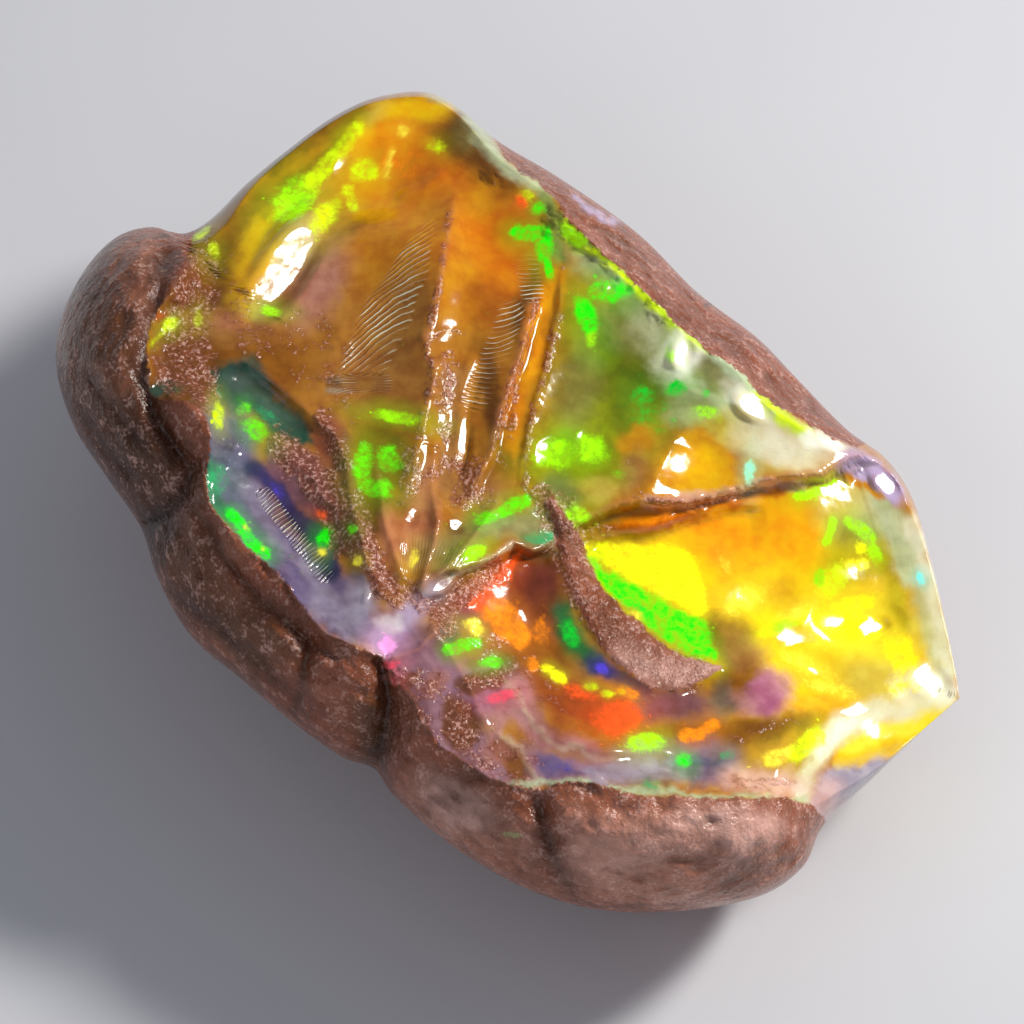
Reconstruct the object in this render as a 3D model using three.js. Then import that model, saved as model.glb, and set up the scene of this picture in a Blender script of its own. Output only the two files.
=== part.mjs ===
// Rough opal: one broken nodule, precious opal inside its brown rind. Millimetres, +Z up.
// The stone lies on a small flat patch of rind. The origin is the middle of its box, at the ground.
import * as THREE from 'three';
import { mergeVertices } from 'three/addons/utils/BufferGeometryUtils.js';

// Driving dimensions. The break has a chart of its own: u to the right, v up the break, w out of it.
const BREAK_ELEVATION = THREE.MathUtils.degToRad(55); // the chart's w axis rises this far above the ground
const FRONT_DEPTH = 18; // unbroken skin above the chart plane
const BACK_DEPTH = 16.5; // skin below it
const SKIN_POWER = 2.3; // 2 is an ellipse, more is squarer
const LEAN = -0.45; // the waist of the stone drops this much in w for each millimetre of v
const BASE_CUT = 1.3; // height worn off the underside, which leaves the flat patch it rests on
const MESH_DETAIL = 17; // splits of each icosahedron edge, less one
const FRONT_CROWDING = 0.36; // 0 spreads the vertices evenly, more draws them towards the break
const CURVE_STEPS = 8; // points on each span of an outline
const BEVEL_MIN = 0.12; // slope of the break below the skin, at least, next to its edge
const BEVEL_MAX = 1.4; // and at most
const FULL_RELIEF_ABOVE = 5; // rind this far above the outline has its swellings and folds in full
const BOSS_HEIGHT = 0.06; // of the low bosses on the back, as a share of the depth there

// The stone's widest outline, as [u, v].
const OUTLINE = [
  [-6, 29.3], [-9.5, 28.9], [-12.5, 27.5], [-15.5, 25.3], [-18.5, 22.8], [-21, 20.3], [-23, 19.2],
  [-25.3, 19.7], [-27.8, 18.9], [-30, 16.5], [-31.6, 13], [-31.8, 9.5], [-30.5, 5.5], [-28.2, 2],
  [-25.8, -1.5], [-24.6, -5], [-22.3, -9], [-18.8, -12], [-14.8, -15.3], [-11.6, -17.5], [-9.4, -18.3],
  [-8, -20.2], [-4.8, -23], [-0.8, -25.6], [3.4, -27.4], [8, -28.2], [13.2, -28], [17.7, -27],
  [20.5, -25], [21.9, -22.2], [25.2, -19.1], [28.6, -15.9], [31.1, -13.7], [31.4, -13], [30.8, -9.4],
  [29.6, -4], [28.3, 0.5], [26.4, 3.4], [23.7, 5.4], [20.2, 9], [17.4, 11.9], [13.2, 15.1], [9, 19.3],
  [3.5, 23.2], [-0.8, 25.8], [-3.6, 28.2],
];

// Edge of the broken face. It runs outside the stone where the break reaches the widest outline.
const BREAK_EDGE = [
  [-5, 29.6], [-2, 27.4], [-0.3, 24.4], [2.3, 22.5], [4.2, 20], [9, 15.6], [11.8, 12.8], [14, 11.2],
  [17.4, 8.2], [21, 5.6], [24, 4.2], [26, 4.6], [29, 3.5], [31.5, -3], [33, -9], [33.5, -14],
  [31, -19], [26, -22.5], [22.5, -22.5], [21, -20.7], [16, -20.1], [9.7, -20], [5.5, -19.2],
  [0.6, -19.5], [-2.9, -18], [-5, -16], [-7.1, -13.2], [-8.9, -10.7], [-12.7, -9], [-15.5, -5.5],
  [-19, -2.3], [-20.3, -0.6], [-21, 1.5], [-20.8, 5.7], [-22.5, 7.4], [-24.6, 7.8], [-25.3, 10],
  [-24.8, 13], [-23.2, 16], [-22.4, 18.6], [-21.8, 21.5], [-18.5, 25], [-12.5, 30], [-8, 32],
];

// Height of the broken face above the chart plane, as [u, v, height].
const LEVEL_SPREAD = 4.6; // reach of each level
const FAINTEST_WEIGHT = 1e-9; // keeps the average defined far from every level
const LEVELS = [
  [-6, 28.5, 3.8], [-12, 27, 3.4], [-16, 24, 3.6], [-22, 18.5, 6.4], [-25, 10, 11], [-21, 3, 13.2],
  [-15, -6, 13.2], [-9, -11, 13.6], [-3, -18, 13], [6, -19, 13.2], [16, -20, 10.5], [21, -20, 7],
  [26, -16.5, 2.6], [30, -13.5, 1.4], [30, -5, 2.5], [27, 2.5, 5], [20, 6.5, 8.4], [13.5, 11.5, 9.6],
  [8, 16.5, 9.6], [3, 21.5, 8.4], [-1, 25, 6.8], [-11, 14, 9.4], [-5, 12, 9.6], [-2.5, 5, 9.8],
  [-7, -5, 12.2], [8, 9, 8.6], [9, 2, 9.6], [9, -5, 7.8], [15, -2, 7], [19, -6, 5.9], [3, -9, 10.4],
  [-15, 0, 11.2], [-16, 8, 10], [14, -14, 8.4], [17, 2, 7.4], [24, -9, 3.4],
];

// Shell-shaped hollows in the break: middle, half sizes, turn in degrees, depth.
const HOLLOWS = [
  { at: [-11.5, 14.5], size: [4.5, 8], turn: -20, depth: 1.2 }, // great shell
  { at: [-16.3, 6.6], size: [4, 2.4], turn: -35, depth: 0.8 }, // recess under it
  { at: [-15.6, -0.6], size: [6.5, 2.6], turn: -54, depth: 1.2 }, // lens by the left rind
  { at: [8.2, 8.5], size: [5, 4], turn: 30, depth: 0.5 }, // green hollow
  { at: [14.3, 9.1], size: [2.6, 1.5], turn: -12, depth: 0.5 }, // scallop
  { at: [9.2, 12.9], size: [3.4, 1.6], turn: -42, depth: 0.3 }, // scallop
  { at: [19, 4.6], size: [3.6, 1.8], turn: -18, depth: 0.3 }, // apron above the ledge
  { at: [18, -5], size: [9, 5], turn: -20, depth: 0.8 }, // golden basin
  { at: [3, -9], size: [6, 3], turn: -50, depth: 0.9 }, // red bowl
  { at: [21, -12], size: [3, 1.6], turn: -20, depth: 0.6 }, // dish above the toe
  { at: [-2, 18], size: [3, 4], turn: 0, depth: 0.5 }, // crown
];

// Sharp ridges between hollows: path, height, and reach of the concave flank on each side of the walk.
const RIDGE_END_HEIGHT = 0.15; // share of a ridge's height that is left at its ends
const RIDGE_TAPER = 0.12; // share of its length over which it rises from them
const RIDGES = [
  { path: [[-3.4, 23], [-4.4, 18.5], [-5.2, 13.3], [-5.7, 11], [-5.2, 9], [-6.2, 4.6], [-7.6, 0]],
    height: 1.5, left: 3.2, right: 6 },
  { path: [[2.2, 14.4], [0.7, 10.3], [-0.7, 6], [-1.3, 3.4], [-2.8, 0.2]], height: 1, left: 1, right: 2.8 },
  { path: [[3.7, 16.8], [3.4, 13.5], [1.9, 7.5], [0.8, 2.6]], height: 0.6, left: 5.5, right: 1 },
  { path: [[-18.6, 12.6], [-18.2, 15.4], [-16.8, 18.4], [-14.6, 20.8]], height: 1.1, left: 5, right: 3 },
  { path: [[-14.6, 20.8], [-12.6, 23.6], [-10.4, 27.2]], height: 0.4, left: 3, right: 3 },
  { path: [[-21, 9.8], [-18.4, 10.2], [-16.2, 8.6], [-14, 6.6], [-12.2, 5.2], [-11.3, 3], [-10.9, 0],
    [-9.8, -4], [-7.6, -7.4]], height: 0.9, left: 5, right: 1.6 },
  { path: [[-9.2, 3], [-8.6, -1], [-7.2, -5.5]], height: 0.7, left: 1.4, right: 1.4 },
  { path: [[-4.6, 1.2], [-5.2, -2.5], [-6.2, -6]], height: 0.8, left: 1.2, right: 1.2 },
  { path: [[-0.6, 0.5], [-2.8, -2.6], [-5.4, -5.4]], height: 0.8, left: 1.4, right: 1.2 },
  { path: [[11.8, 5], [10.6, 2.8], [9.3, 0.6]], height: 0.4, left: 2.5, right: 1.2 },
  { path: [[11.2, 12.4], [11.6, 10.2], [12.8, 8], [15.5, 7.2], [18, 7.6]],
    height: 0.4, left: 2, right: 2.2 },
  { path: [[-5.6, -8], [-4, -10.2], [-2.6, -12.6], [-1.4, -15.6]], height: 0.5, left: 1.6, right: 1.6 },
  { path: [[-1, -12.2], [0.6, -13.8], [2.6, -15.8], [6, -16.8], [9.5, -17.2]],
    height: 0.4, left: 2.4, right: 1 },
];

// Places where the break drops from one level to the next: path, with the low side on its right.
const STEP_WIDTH = 1.1; // half width of the slope between the levels
const STEP_TAPER = 0.1; // share of a step's length over which it fades in
const STEPS = [
  { path: [[3.2, -2.2], [5, -1.4], [9, 0], [12, 0.1], [15.5, 0.8], [19, 1.8], [22.5, 2.4], [26.5, 3.4]],
    drop: 2.3, left: 5, right: 7 }, // ledge above the golden basin
  { path: [[-6.4, -6.8], [-4, -5], [-2, -4.1], [0.5, -2.9], [3.4, -3]], drop: 1.5, left: 3, right: 6 },
  { path: [[19.5, -20.6], [20.8, -18.2], [23.5, -15], [27, -14], [31.5, -13]],
    drop: 0.7, left: 3, right: 4.5 }, // white crest at the toe
];

// Outline of a tongue of rind that stands between the red bowl and the golden basin.
const TONGUE = [
  [2.5, 1.2], [3.2, -1], [3.7, -3.6], [4.4, -6], [5.3, -8], [6.7, -10.2], [8.4, -11.6], [9.8, -12.7],
  [11.6, -12.9], [13.2, -12.2], [14.7, -11.2], [11.9, -10.2], [10, -8.9], [8.2, -7.4], [6.8, -5.7],
  [5.7, -3.9], [4.6, -1.2], [3.6, 1.2],
];
const TONGUE_HEIGHT = 0.7;
const TONGUE_FLANK = 0.7;

// Soft swellings and dips of the rind: middle, half sizes, height.
const SWELLINGS = [
  { at: [-28, 12], size: [4.5, 6], height: 2 },
  { at: [-24, -3], size: [3, 3.5], height: 1.2 },
  { at: [-16, -11.5], size: [4.5, 3], height: 1.2 },
  { at: [-3, -22], size: [5, 3.5], height: 1.2 },
  { at: [13, -23.5], size: [7, 3.5], height: 1.4 },
  { at: [13.6, 14.4], size: [2, 2], height: 0.6 },
  { at: [8.8, 17.2], size: [3.4, 3.4], height: -1.2 }, // the skin dips along the right flank
  { at: [13.6, 12], size: [3.4, 3.4], height: -1.9 },
  { at: [18.6, 7.6], size: [3.4, 3.4], height: -2.4 },
  { at: [23.4, 5], size: [2.6, 2.6], height: -1.4 },
];

// Folds pressed into the rind.
const FOLDS = [
  { path: [[-24, 17.5], [-24.8, 13], [-25.6, 9], [-24.5, 6], [-22.8, 3.5]], depth: 1.4, reach: 2.4 },
  { path: [[-22.2, 3], [-22.6, 0.5], [-25.5, -0.5]], depth: 1.3, reach: 2 },
  { path: [[-9.4, -18.6], [-8.8, -15], [-8.6, -11.5]], depth: 1.8, reach: 2.6 },
  { path: [[2.2, -21], [2.8, -24.5], [3.4, -27.6]], depth: 0.9, reach: 2.2 },
];

const smoothCurve = (points, closed) => new THREE.CatmullRomCurve3(
  points.map(([u, v]) => new THREE.Vector3(u, v, 0)), closed, 'catmullrom', 0.5);

const closedCurve = (points) => smoothCurve(points, true).getPoints(points.length * CURVE_STEPS);

// Radius of the outline in a direction, by straight interpolation between close points.
const outlineByAngle = closedCurve(OUTLINE)
  .slice(0, -1)
  .map((p) => ({ angle: Math.atan2(p.y, p.x), radius: Math.hypot(p.x, p.y) }))
  .sort((a, b) => a.angle - b.angle);

function outlineRadius(angle) {
  const count = outlineByAngle.length;
  const found = outlineByAngle.findIndex((p) => p.angle > angle);
  const next = outlineByAngle[found < 0 ? 0 : found];
  const last = outlineByAngle[(found < 0 ? count : found + count) - 1 - (found > 0 ? count : 0)];
  const span = THREE.MathUtils.euclideanModulo(next.angle - last.angle, 2 * Math.PI);
  const part = THREE.MathUtils.euclideanModulo(angle - last.angle, 2 * Math.PI);
  return THREE.MathUtils.lerp(last.radius, next.radius, part / span);
}

// Distance from a point to a path, how far along the path that is, and the side: +1 right of the walk.
function pathDistance(path, u, v) {
  let nearest = { distance: Infinity, along: 0, side: 1 };
  for (let i = 0; i + 1 < path.length; i += 1) {
    const [au, av] = path[i];
    const du = path[i + 1][0] - au;
    const dv = path[i + 1][1] - av;
    const t = THREE.MathUtils.clamp(((u - au) * du + (v - av) * dv) / (du * du + dv * dv), 0, 1);
    const distance = Math.hypot(u - au - t * du, v - av - t * dv);
    if (distance < nearest.distance) {
      const side = (u - au) * dv - (v - av) * du < 0 ? -1 : 1;
      nearest = { distance, along: (i + t) / (path.length - 1), side };
    }
  }
  return nearest;
}

// Distance inside a closed path whose last point repeats its first, negative outside it.
function insideLoop(loop, u, v) {
  let inside = false;
  for (let i = 0; i + 1 < loop.length; i += 1) {
    const [au, av] = loop[i];
    const [bu, bv] = loop[i + 1];
    if (av > v !== bv > v && u < au + ((v - av) * (bu - au)) / (bv - av)) inside = !inside;
  }
  return (inside ? 1 : -1) * pathDistance(loop, u, v).distance;
}

const breakEdge = closedCurve(BREAK_EDGE).map((p) => [p.x, p.y]);
const tongueEdge = [...TONGUE, TONGUE[0]];

const fade = (distance, reach) => (1 - THREE.MathUtils.clamp(distance / reach, 0, 1)) ** 2;
const awayFromEnds = (along, length) => THREE.MathUtils.clamp(Math.min(along, 1 - along) / length, 0, 1);

function mound([u, v], { at, size, turn = 0 }) {
  const angle = THREE.MathUtils.degToRad(turn);
  const x = u - at[0];
  const y = v - at[1];
  const across = (x * Math.cos(angle) + y * Math.sin(angle)) / size[0];
  const up = (y * Math.cos(angle) - x * Math.sin(angle)) / size[1];
  return Math.exp(-across * across - up * up);
}

// The broken face, as a height above the chart plane.
function breakHeight(u, v) {
  let weight = 0;
  let height = 0;
  for (const [lu, lv, level] of LEVELS) {
    const near = Math.exp(-((u - lu) ** 2 + (v - lv) ** 2) / LEVEL_SPREAD ** 2) + FAINTEST_WEIGHT;
    weight += near;
    height += near * level;
  }
  height /= weight;
  for (const hollow of HOLLOWS) height -= hollow.depth * mound([u, v], hollow);
  for (const ridge of RIDGES) {
    const { distance, along, side } = pathDistance(ridge.path, u, v);
    const reach = side > 0 ? ridge.right : ridge.left;
    const rise = THREE.MathUtils.lerp(RIDGE_END_HEIGHT, 1, awayFromEnds(along, RIDGE_TAPER));
    height += ridge.height * rise * fade(distance, reach);
  }
  for (const step of STEPS) {
    const { distance, along, side } = pathDistance(step.path, u, v);
    const across = Math.min(distance / STEP_WIDTH, 1) * side;
    const reach = side > 0 ? step.right : step.left;
    const beyond = Math.max(distance - STEP_WIDTH, 0);
    height -= (step.drop / 2) * awayFromEnds(along, STEP_TAPER) * across * fade(beyond, reach);
  }
  const onTongue = insideLoop(tongueEdge, u, v) / TONGUE_FLANK;
  return height + TONGUE_HEIGHT * THREE.MathUtils.smoothstep(onTongue, -1, 1);
}

// The rind before it was broken, front side, as a height above the chart plane.
function skinHeight(u, v, rim) {
  let height = FRONT_DEPTH * Math.max(1 - rim ** SKIN_POWER, 0) ** (1 / SKIN_POWER);
  const shown = Math.min(height / FULL_RELIEF_ABOVE, 1); // the outline itself stays as drawn
  for (const swelling of SWELLINGS) height += shown * swelling.height * mound([u, v], swelling);
  for (const { path, depth, reach } of FOLDS) {
    height -= shown * depth * fade(pathDistance(path, u, v).distance, reach);
  }
  return height;
}

// The back is rind all over, with three broad, low bosses.
function backDepth(direction, rim) {
  const smooth = BACK_DEPTH * Math.max(1 - rim ** SKIN_POWER, 0) ** (1 / SKIN_POWER);
  const bosses = Math.cos(3 * direction.x + 1) * Math.cos(2.6 * direction.y - 0.6);
  return smooth * (1 + BOSS_HEIGHT * bosses);
}

// Carries a direction from the middle of the stone to its surface, in the chart.
function surfacePoint(direction) {
  const polar = Math.acos(THREE.MathUtils.clamp(direction.z, -1, 1));
  const crowded = polar - FRONT_CROWDING * Math.sin(polar);
  const angle = Math.atan2(direction.y, direction.x);
  const rim = Math.sin(crowded);
  const radius = outlineRadius(angle) * rim;
  const u = radius * Math.cos(angle);
  const v = radius * Math.sin(angle);
  let w = -backDepth(direction, rim);
  if (crowded < Math.PI / 2) {
    const skin = skinHeight(u, v, rim);
    const inside = insideLoop(breakEdge, u, v);
    const cut = THREE.MathUtils.clamp(skin - breakHeight(u, v), BEVEL_MIN * inside, BEVEL_MAX * inside);
    w = inside > 0 ? skin - cut : skin;
  }
  return new THREE.Vector3(u, v, w + LEAN * v);
}

// Closed skin of the stone: an icosahedron's split faces, carried out to the surface.
const stone = new THREE.IcosahedronGeometry(1, MESH_DETAIL);
stone.deleteAttribute('normal');
stone.deleteAttribute('uv');
const shape = mergeVertices(stone, 1e-4);
const position = shape.getAttribute('position');
const direction = new THREE.Vector3();
for (let i = 0; i < position.count; i += 1) {
  direction.fromBufferAttribute(position, i).normalize();
  const point = surfacePoint(direction);
  position.setXYZ(i, point.x, point.y, point.z);
}

// Stand the chart up, wear the resting patch flat and centre the stone on the ground.
shape.rotateX(Math.PI / 2 - BREAK_ELEVATION);
shape.computeBoundingBox();
const ground = shape.boundingBox.min.z + BASE_CUT;
for (let i = 0; i < position.count; i += 1) position.setZ(i, Math.max(position.getZ(i), ground));
shape.computeBoundingBox();
const middle = shape.boundingBox.getCenter(new THREE.Vector3());
shape.translate(-middle.x, -middle.y, -ground);
shape.computeVertexNormals();

const nodule = new THREE.Mesh(shape, new THREE.MeshStandardMaterial({
  color: 0x8a5a3c, roughness: 0.4, metalness: 0,
}));
nodule.name = 'opal_nodule';

const specimen = new THREE.Group();
specimen.add(nodule);
export default specimen;
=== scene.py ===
"""Rough opal: a broken nodule with a fiery shell-fractured face in a wet brown rind.

The stone is one closed mesh. Its front is drawn in the chart of the break: u runs to the right, v up the
break and w out of it, all in millimetres. The chart leans back from the viewer and is stood up at the end.
"""
import itertools
import math
from types import SimpleNamespace

import bmesh
import bpy
import numpy as np
from mathutils import Matrix, Vector


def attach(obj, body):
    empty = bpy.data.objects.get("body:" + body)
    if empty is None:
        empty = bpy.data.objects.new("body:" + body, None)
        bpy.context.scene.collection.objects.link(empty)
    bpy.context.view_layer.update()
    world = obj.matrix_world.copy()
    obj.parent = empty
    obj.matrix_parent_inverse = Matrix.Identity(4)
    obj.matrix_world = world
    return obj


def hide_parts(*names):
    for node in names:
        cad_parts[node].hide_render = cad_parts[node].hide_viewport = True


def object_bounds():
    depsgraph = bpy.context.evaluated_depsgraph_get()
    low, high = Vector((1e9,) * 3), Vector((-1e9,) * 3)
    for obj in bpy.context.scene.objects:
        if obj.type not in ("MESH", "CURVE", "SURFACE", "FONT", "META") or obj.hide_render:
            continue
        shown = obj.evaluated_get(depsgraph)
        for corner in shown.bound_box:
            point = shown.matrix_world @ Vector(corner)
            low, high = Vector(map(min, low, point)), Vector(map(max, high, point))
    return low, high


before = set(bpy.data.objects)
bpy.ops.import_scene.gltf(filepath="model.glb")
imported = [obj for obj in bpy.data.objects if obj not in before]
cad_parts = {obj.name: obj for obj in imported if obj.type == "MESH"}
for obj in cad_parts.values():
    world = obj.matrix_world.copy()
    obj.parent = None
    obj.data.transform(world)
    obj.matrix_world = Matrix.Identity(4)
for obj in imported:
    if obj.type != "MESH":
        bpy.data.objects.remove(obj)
cad_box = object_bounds()

MM = 0.001
NODE = "opal_nodule"
BLACK = (0, 0, 0, 1)

# ---------------------------------------------------------------- form of the stone, millimetres

BREAK_ELEVATION = math.radians(55)
LEAN = -0.45  # slope of w with v
FRONT_DEPTH, BACK_DEPTH = 18.0, 16.5  # bulge of the skin before and behind the middle of the stone
SKIN_POWER = 2.3  # roundness of the bulge: 2 is an ellipse
BACK_WAVE = 0.06  # share by which the back swells and sinks
FULL_RELIEF_ABOVE = 5  # swellings and folds fade out toward the outline, below this height of the skin
BASE_CUT = 1.3  # cut off flat underneath, to rest on
SPLITS = 97  # of each icosahedron edge
FRONT_CROWDING = 0.42  # how strongly the mesh points crowd toward the front
CURVE_STEPS = 8  # between two points of a smooth loop
BEVEL = (0.12, 2.0)  # least and greatest slope of the break below the skin, next to its edge
RIDGE_END_HEIGHT, RIDGE_TAPER, STEP_TAPER = 0.15, 0.12, 0.1  # shares of a ridge's height and of a path
BEAD_HEIGHT = 0.55  # share of a bead's radius
SMALLEST_SHARE = 1e-9  # keeps a place far from every level from dividing by nothing

# Relief of the rind and of the break, as height, size and random lot.
LUMPS = [(0.38, 6, 1), (0.26, 2.4, 2), (0.12, 1.0, 3)]
PIT_DEPTH, PIT_SIZE, PIT_START, PIT_LOT = 0.7, 1.5, 0.4, 4
GLASS_WAVE = (0.045, 3.2, 7)
STONY_GRAIN, STONY_WAVE = (0.13, 0.6, 8), (0.08, 1.4, 9)
BALL_DEPTH = 25  # half depth of the ball that the lumps are read from
RIM_FADE = 0.35  # how far from side-on the lumps and folds come in

# Every border wanders: by how much, in what size, and the random lot of each of the two wanderings.
WANDER, WANDER_SIZE, WANDER_FINENESS, WANDER_LOTS = 0.45, 3.0, 0.68, (5, 6)
EDGE_WANDER, TONGUE_WANDER, WRAP_WANDER, BREAK_WANDER = 0.6, 0.4, 2.6, 0.15  # shares for each border
BODY_WANDER, FLASH_WANDER, GRIT_WANDER = 0.9, 0.4, 0.8  # shares for each kind of marking
WRAP_SLOPE = 0.8  # how fast the glass that wraps round the rim runs out behind

# Painted shade in corners and painted light on crests: how far around a place its height is compared with,
# and how strongly.
AROUND, AROUND_COUNT, GLASS_SHADE, RIND_SHADE = 0.8, 6, 2.2, 1.3

OUTLINE = [
    (-6, 29.3), (-9.5, 28.9), (-12.5, 27.5), (-15.5, 25.3), (-18.5, 22.8), (-21, 20.3), (-23, 19.2),
    (-25.3, 19.7), (-27.8, 18.9), (-30, 16.5), (-31.6, 13), (-31.8, 9.5), (-30.5, 5.5), (-28.2, 2),
    (-25.8, -1.5), (-24.6, -5), (-22.3, -9), (-18.8, -12), (-14.8, -15.3), (-11.6, -17.5), (-9.4, -18.3),
    (-8, -20.2), (-4.8, -23), (-0.8, -25.6), (3.4, -27.4), (8, -28.2), (13.2, -28), (17.7, -27),
    (20.5, -25), (21.9, -22.2), (25.2, -19.1), (28.6, -15.9), (31.1, -13.7), (31.4, -13), (30.8, -9.4),
    (29.6, -4), (28.3, 0.5), (26.4, 3.4), (23.7, 5.4), (20.2, 9), (17.4, 11.9), (13.2, 15.1), (9, 19.3),
    (3.5, 23.2), (-0.8, 25.8), (-3.6, 28.2),
]

BREAK_EDGE = [
    (-5, 29.6), (-2, 27.4), (-0.3, 24.4), (2.3, 22.5), (4.2, 20), (9, 15.6), (11.8, 12.8), (14, 11.2),
    (17.4, 8.2), (21, 5.6), (24, 4.2), (26, 4.6), (29, 3.5), (31.5, -3), (33, -9), (33.5, -14), (31, -19),
    (26, -22.5), (22.5, -22.5), (21, -20.7), (16, -20.1), (9.7, -20), (5.5, -19.2), (0.6, -19.5),
    (-2.9, -18), (-5, -16), (-7.1, -13.2), (-8.9, -10.7), (-12.7, -9), (-15.5, -5.5), (-19, -2.3),
    (-20.3, -0.6), (-21, 1.5), (-20.8, 5.7), (-22.5, 7.4), (-24.6, 7.8), (-25.3, 10), (-24.8, 13),
    (-23.2, 16), (-22.4, 18.6), (-21.8, 21.5), (-18.5, 25), (-12.5, 30), (-8, 32),
]

LEVEL_SPREAD = 4.6  # reach of one level
LEVELS = [  # u, v, height of the break above the chart
    (-6, 28.5, 3.8), (-12, 27, 3.4), (-16, 24, 3.6), (-22, 18.5, 6.4), (-25, 10, 11), (-21, 3, 13.2),
    (-15, -6, 13.2), (-9, -11, 13.6), (-3, -18, 13), (6, -19, 13.2), (16, -20, 10.5), (21, -20, 7),
    (26, -16.5, 2.6), (30, -13.5, 1.4), (30, -5, 2.5), (27, 2.5, 5), (20, 6.5, 8.4), (13.5, 11.5, 9.6),
    (8, 16.5, 9.6), (3, 21.5, 8.4), (-1, 25, 6.8), (-11, 14, 9.4), (-5, 12, 9.6), (-2.5, 5, 9.8),
    (-7, -5, 12.2), (8, 9, 8.6), (9, 2, 9.6), (9, -5, 7.8), (15, -2, 7), (19, -6, 5.9), (3, -9, 10.4),
    (-15, 0, 11.2), (-16, 8, 10), (14, -14, 8.4), (17, 2, 7.4), (24, -9, 3.4),
]

HOLLOWS = [  # middle, half sizes, turn in degrees, depth
    ((-11.5, 14.5), (4.5, 8), -20, 1.2), ((-16.3, 6.6), (4, 2.4), -35, 0.8),
    ((8.2, 8.5), (5, 4), 30, 0.5), ((18, -5), (9, 5), -20, 0.8), ((3, -9), (6, 3), -50, 0.9),
    ((-2, 18), (3, 4), 0, 0.5), ((24.5, -3.2), (2.2, 1.6), -40, 0.05), ((21, -12), (3, 1.6), -20, 0.5),
    ((-8.8, 2), (1.6, 2.4), 0, 0.4),
]

SCARS = [  # crisp-rimmed shell scars: middle, half sizes, turn in degrees, depth
    ((-15.6, -0.6), (8.6, 3.1), -54, 1.1), ((9.2, 12.9), (3.6, 1.7), -42, 0.2),
    ((14.3, 9.1), (2.8, 1.5), -12, 0.4), ((19, 4.6), (3.8, 1.9), -18, 0.25),
    ((6.2, 17), (2.2, 1.3), -42, 0.2), ((5.9, 4.3), (1.3, 1.4), 0, 0.3),
    ((3.2, 3.6), (1.5, 1.3), 0, 0.25), ((-10.6, 24.6), (2.2, 1.4), 40, 0.35),
    ((24.6, -8), (3.6, 2), -10, 0.4), ((17.6, -6.6), (3, 1.8), 20, 0.12),
    ((21.4, -11.6), (3, 1.6), -20, 0.35), ((12.6, 3), (2.6, 1.9), 10, 0.35),
    ((-8.4, 12.4), (2.2, 4.2), -30, 0.35), ((-14.2, 11.6), (2.4, 2), 0, 0.3),
    ((-2.6, -1.2), (2.6, 1.3), 25, 0.3), ((9.5, -17.6), (3.4, 0.9), -2, 0.25),
    ((14.6, -13), (2.6, 1.5), 0, 0.35), ((2.2, -9), (1.5, 2.4), 30, 0.4),
]

RIDGES = [  # path, height, reach of the flank to the left and to the right of the walk
    ([(-3.4, 23), (-4, 21), (-4.4, 18.5), (-4.9, 15.5), (-5.2, 13.3), (-5.8, 11.8), (-5.6, 10.4),
     (-5.2, 9), (-6.2, 4.6), (-6.7, 2.5), (-7.6, 0)], 1.5, 3.2, 6.0),
    ([(2.2, 14.4), (1.2, 12), (0.7, 10.3), (0, 8.2), (-0.7, 6), (-1.3, 3.4), (-2.8, 0.2)], 1.0, 0.5, 2.8),
    ([(3.7, 16.8), (3.4, 13.5), (2.6, 10.2), (1.9, 7.5), (1.2, 4.6), (0.8, 2.6)], 0.45, 5.5, 0.5),
    ([(-18.6, 12.6), (-18.2, 15.4), (-16.8, 18.4), (-14.6, 20.8)], 1.1, 5, 3),
    ([(-14.6, 20.8), (-12.6, 23.6), (-10.4, 27.2)], 0.4, 3, 3),
    ([(-21, 9.8), (-18.4, 10.2), (-16.2, 8.6), (-14, 6.6), (-12.2, 5.2), (-11.3, 3), (-10.9, 0),
     (-9.8, -4), (-7.6, -7.4)], 0.9, 5.0, 1.6),
    ([(-9.2, 3), (-8.6, -1), (-7.2, -5.5)], 0.7, 1.4, 1.4),
    ([(-4.6, 1.2), (-5.2, -2.5), (-6.2, -6)], 0.8, 1.2, 1.2),
    ([(-0.6, 0.5), (-2.8, -2.6), (-5.4, -5.4)], 0.8, 1.4, 1.2),
    ([(11.8, 5), (10.6, 2.8), (9.3, 0.6)], 0.3, 2.5, 1.2),
    ([(11.2, 12.4), (11.6, 10.2), (12.8, 8), (15.5, 7.2), (18, 7.6)], 0.25, 1.8, 2.2),
    ([(-5, 5), (-5.4, 2), (-5, -1.5)], 0.5, 1.0, 1.0),
    ([(-4.6, 23.8), (-6, 22.4), (-8, 21.6)], 0.35, 1.6, 0.8),
    ([(20, -9), (21.5, -6.5), (23.6, -5.2), (26.4, -5)], 0.12, 1.5, 1.8),
    ([(14, -8), (16.5, -10), (18.5, -12.5), (19.5, -15)], 0.5, 2.0, 2.0),
    ([(-1, -12.2), (0.6, -13.8), (2.6, -15.8), (6, -16.8), (9.5, -17.2)], 0.3, 2.4, 0.9),
    ([(-1.2, -15.4), (0.6, -17), (1.8, -18.8)], 0.2, 0.8, 0.8),
    ([(-5.6, -8), (-4, -10.2), (-2.6, -12.6), (-1.4, -15.6)], 0.5, 1.6, 1.6),
    ([(-8.6, -10.6), (-6.2, -9.9), (-4.8, -8.2)], 0.6, 1.4, 1.2),
]

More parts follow.
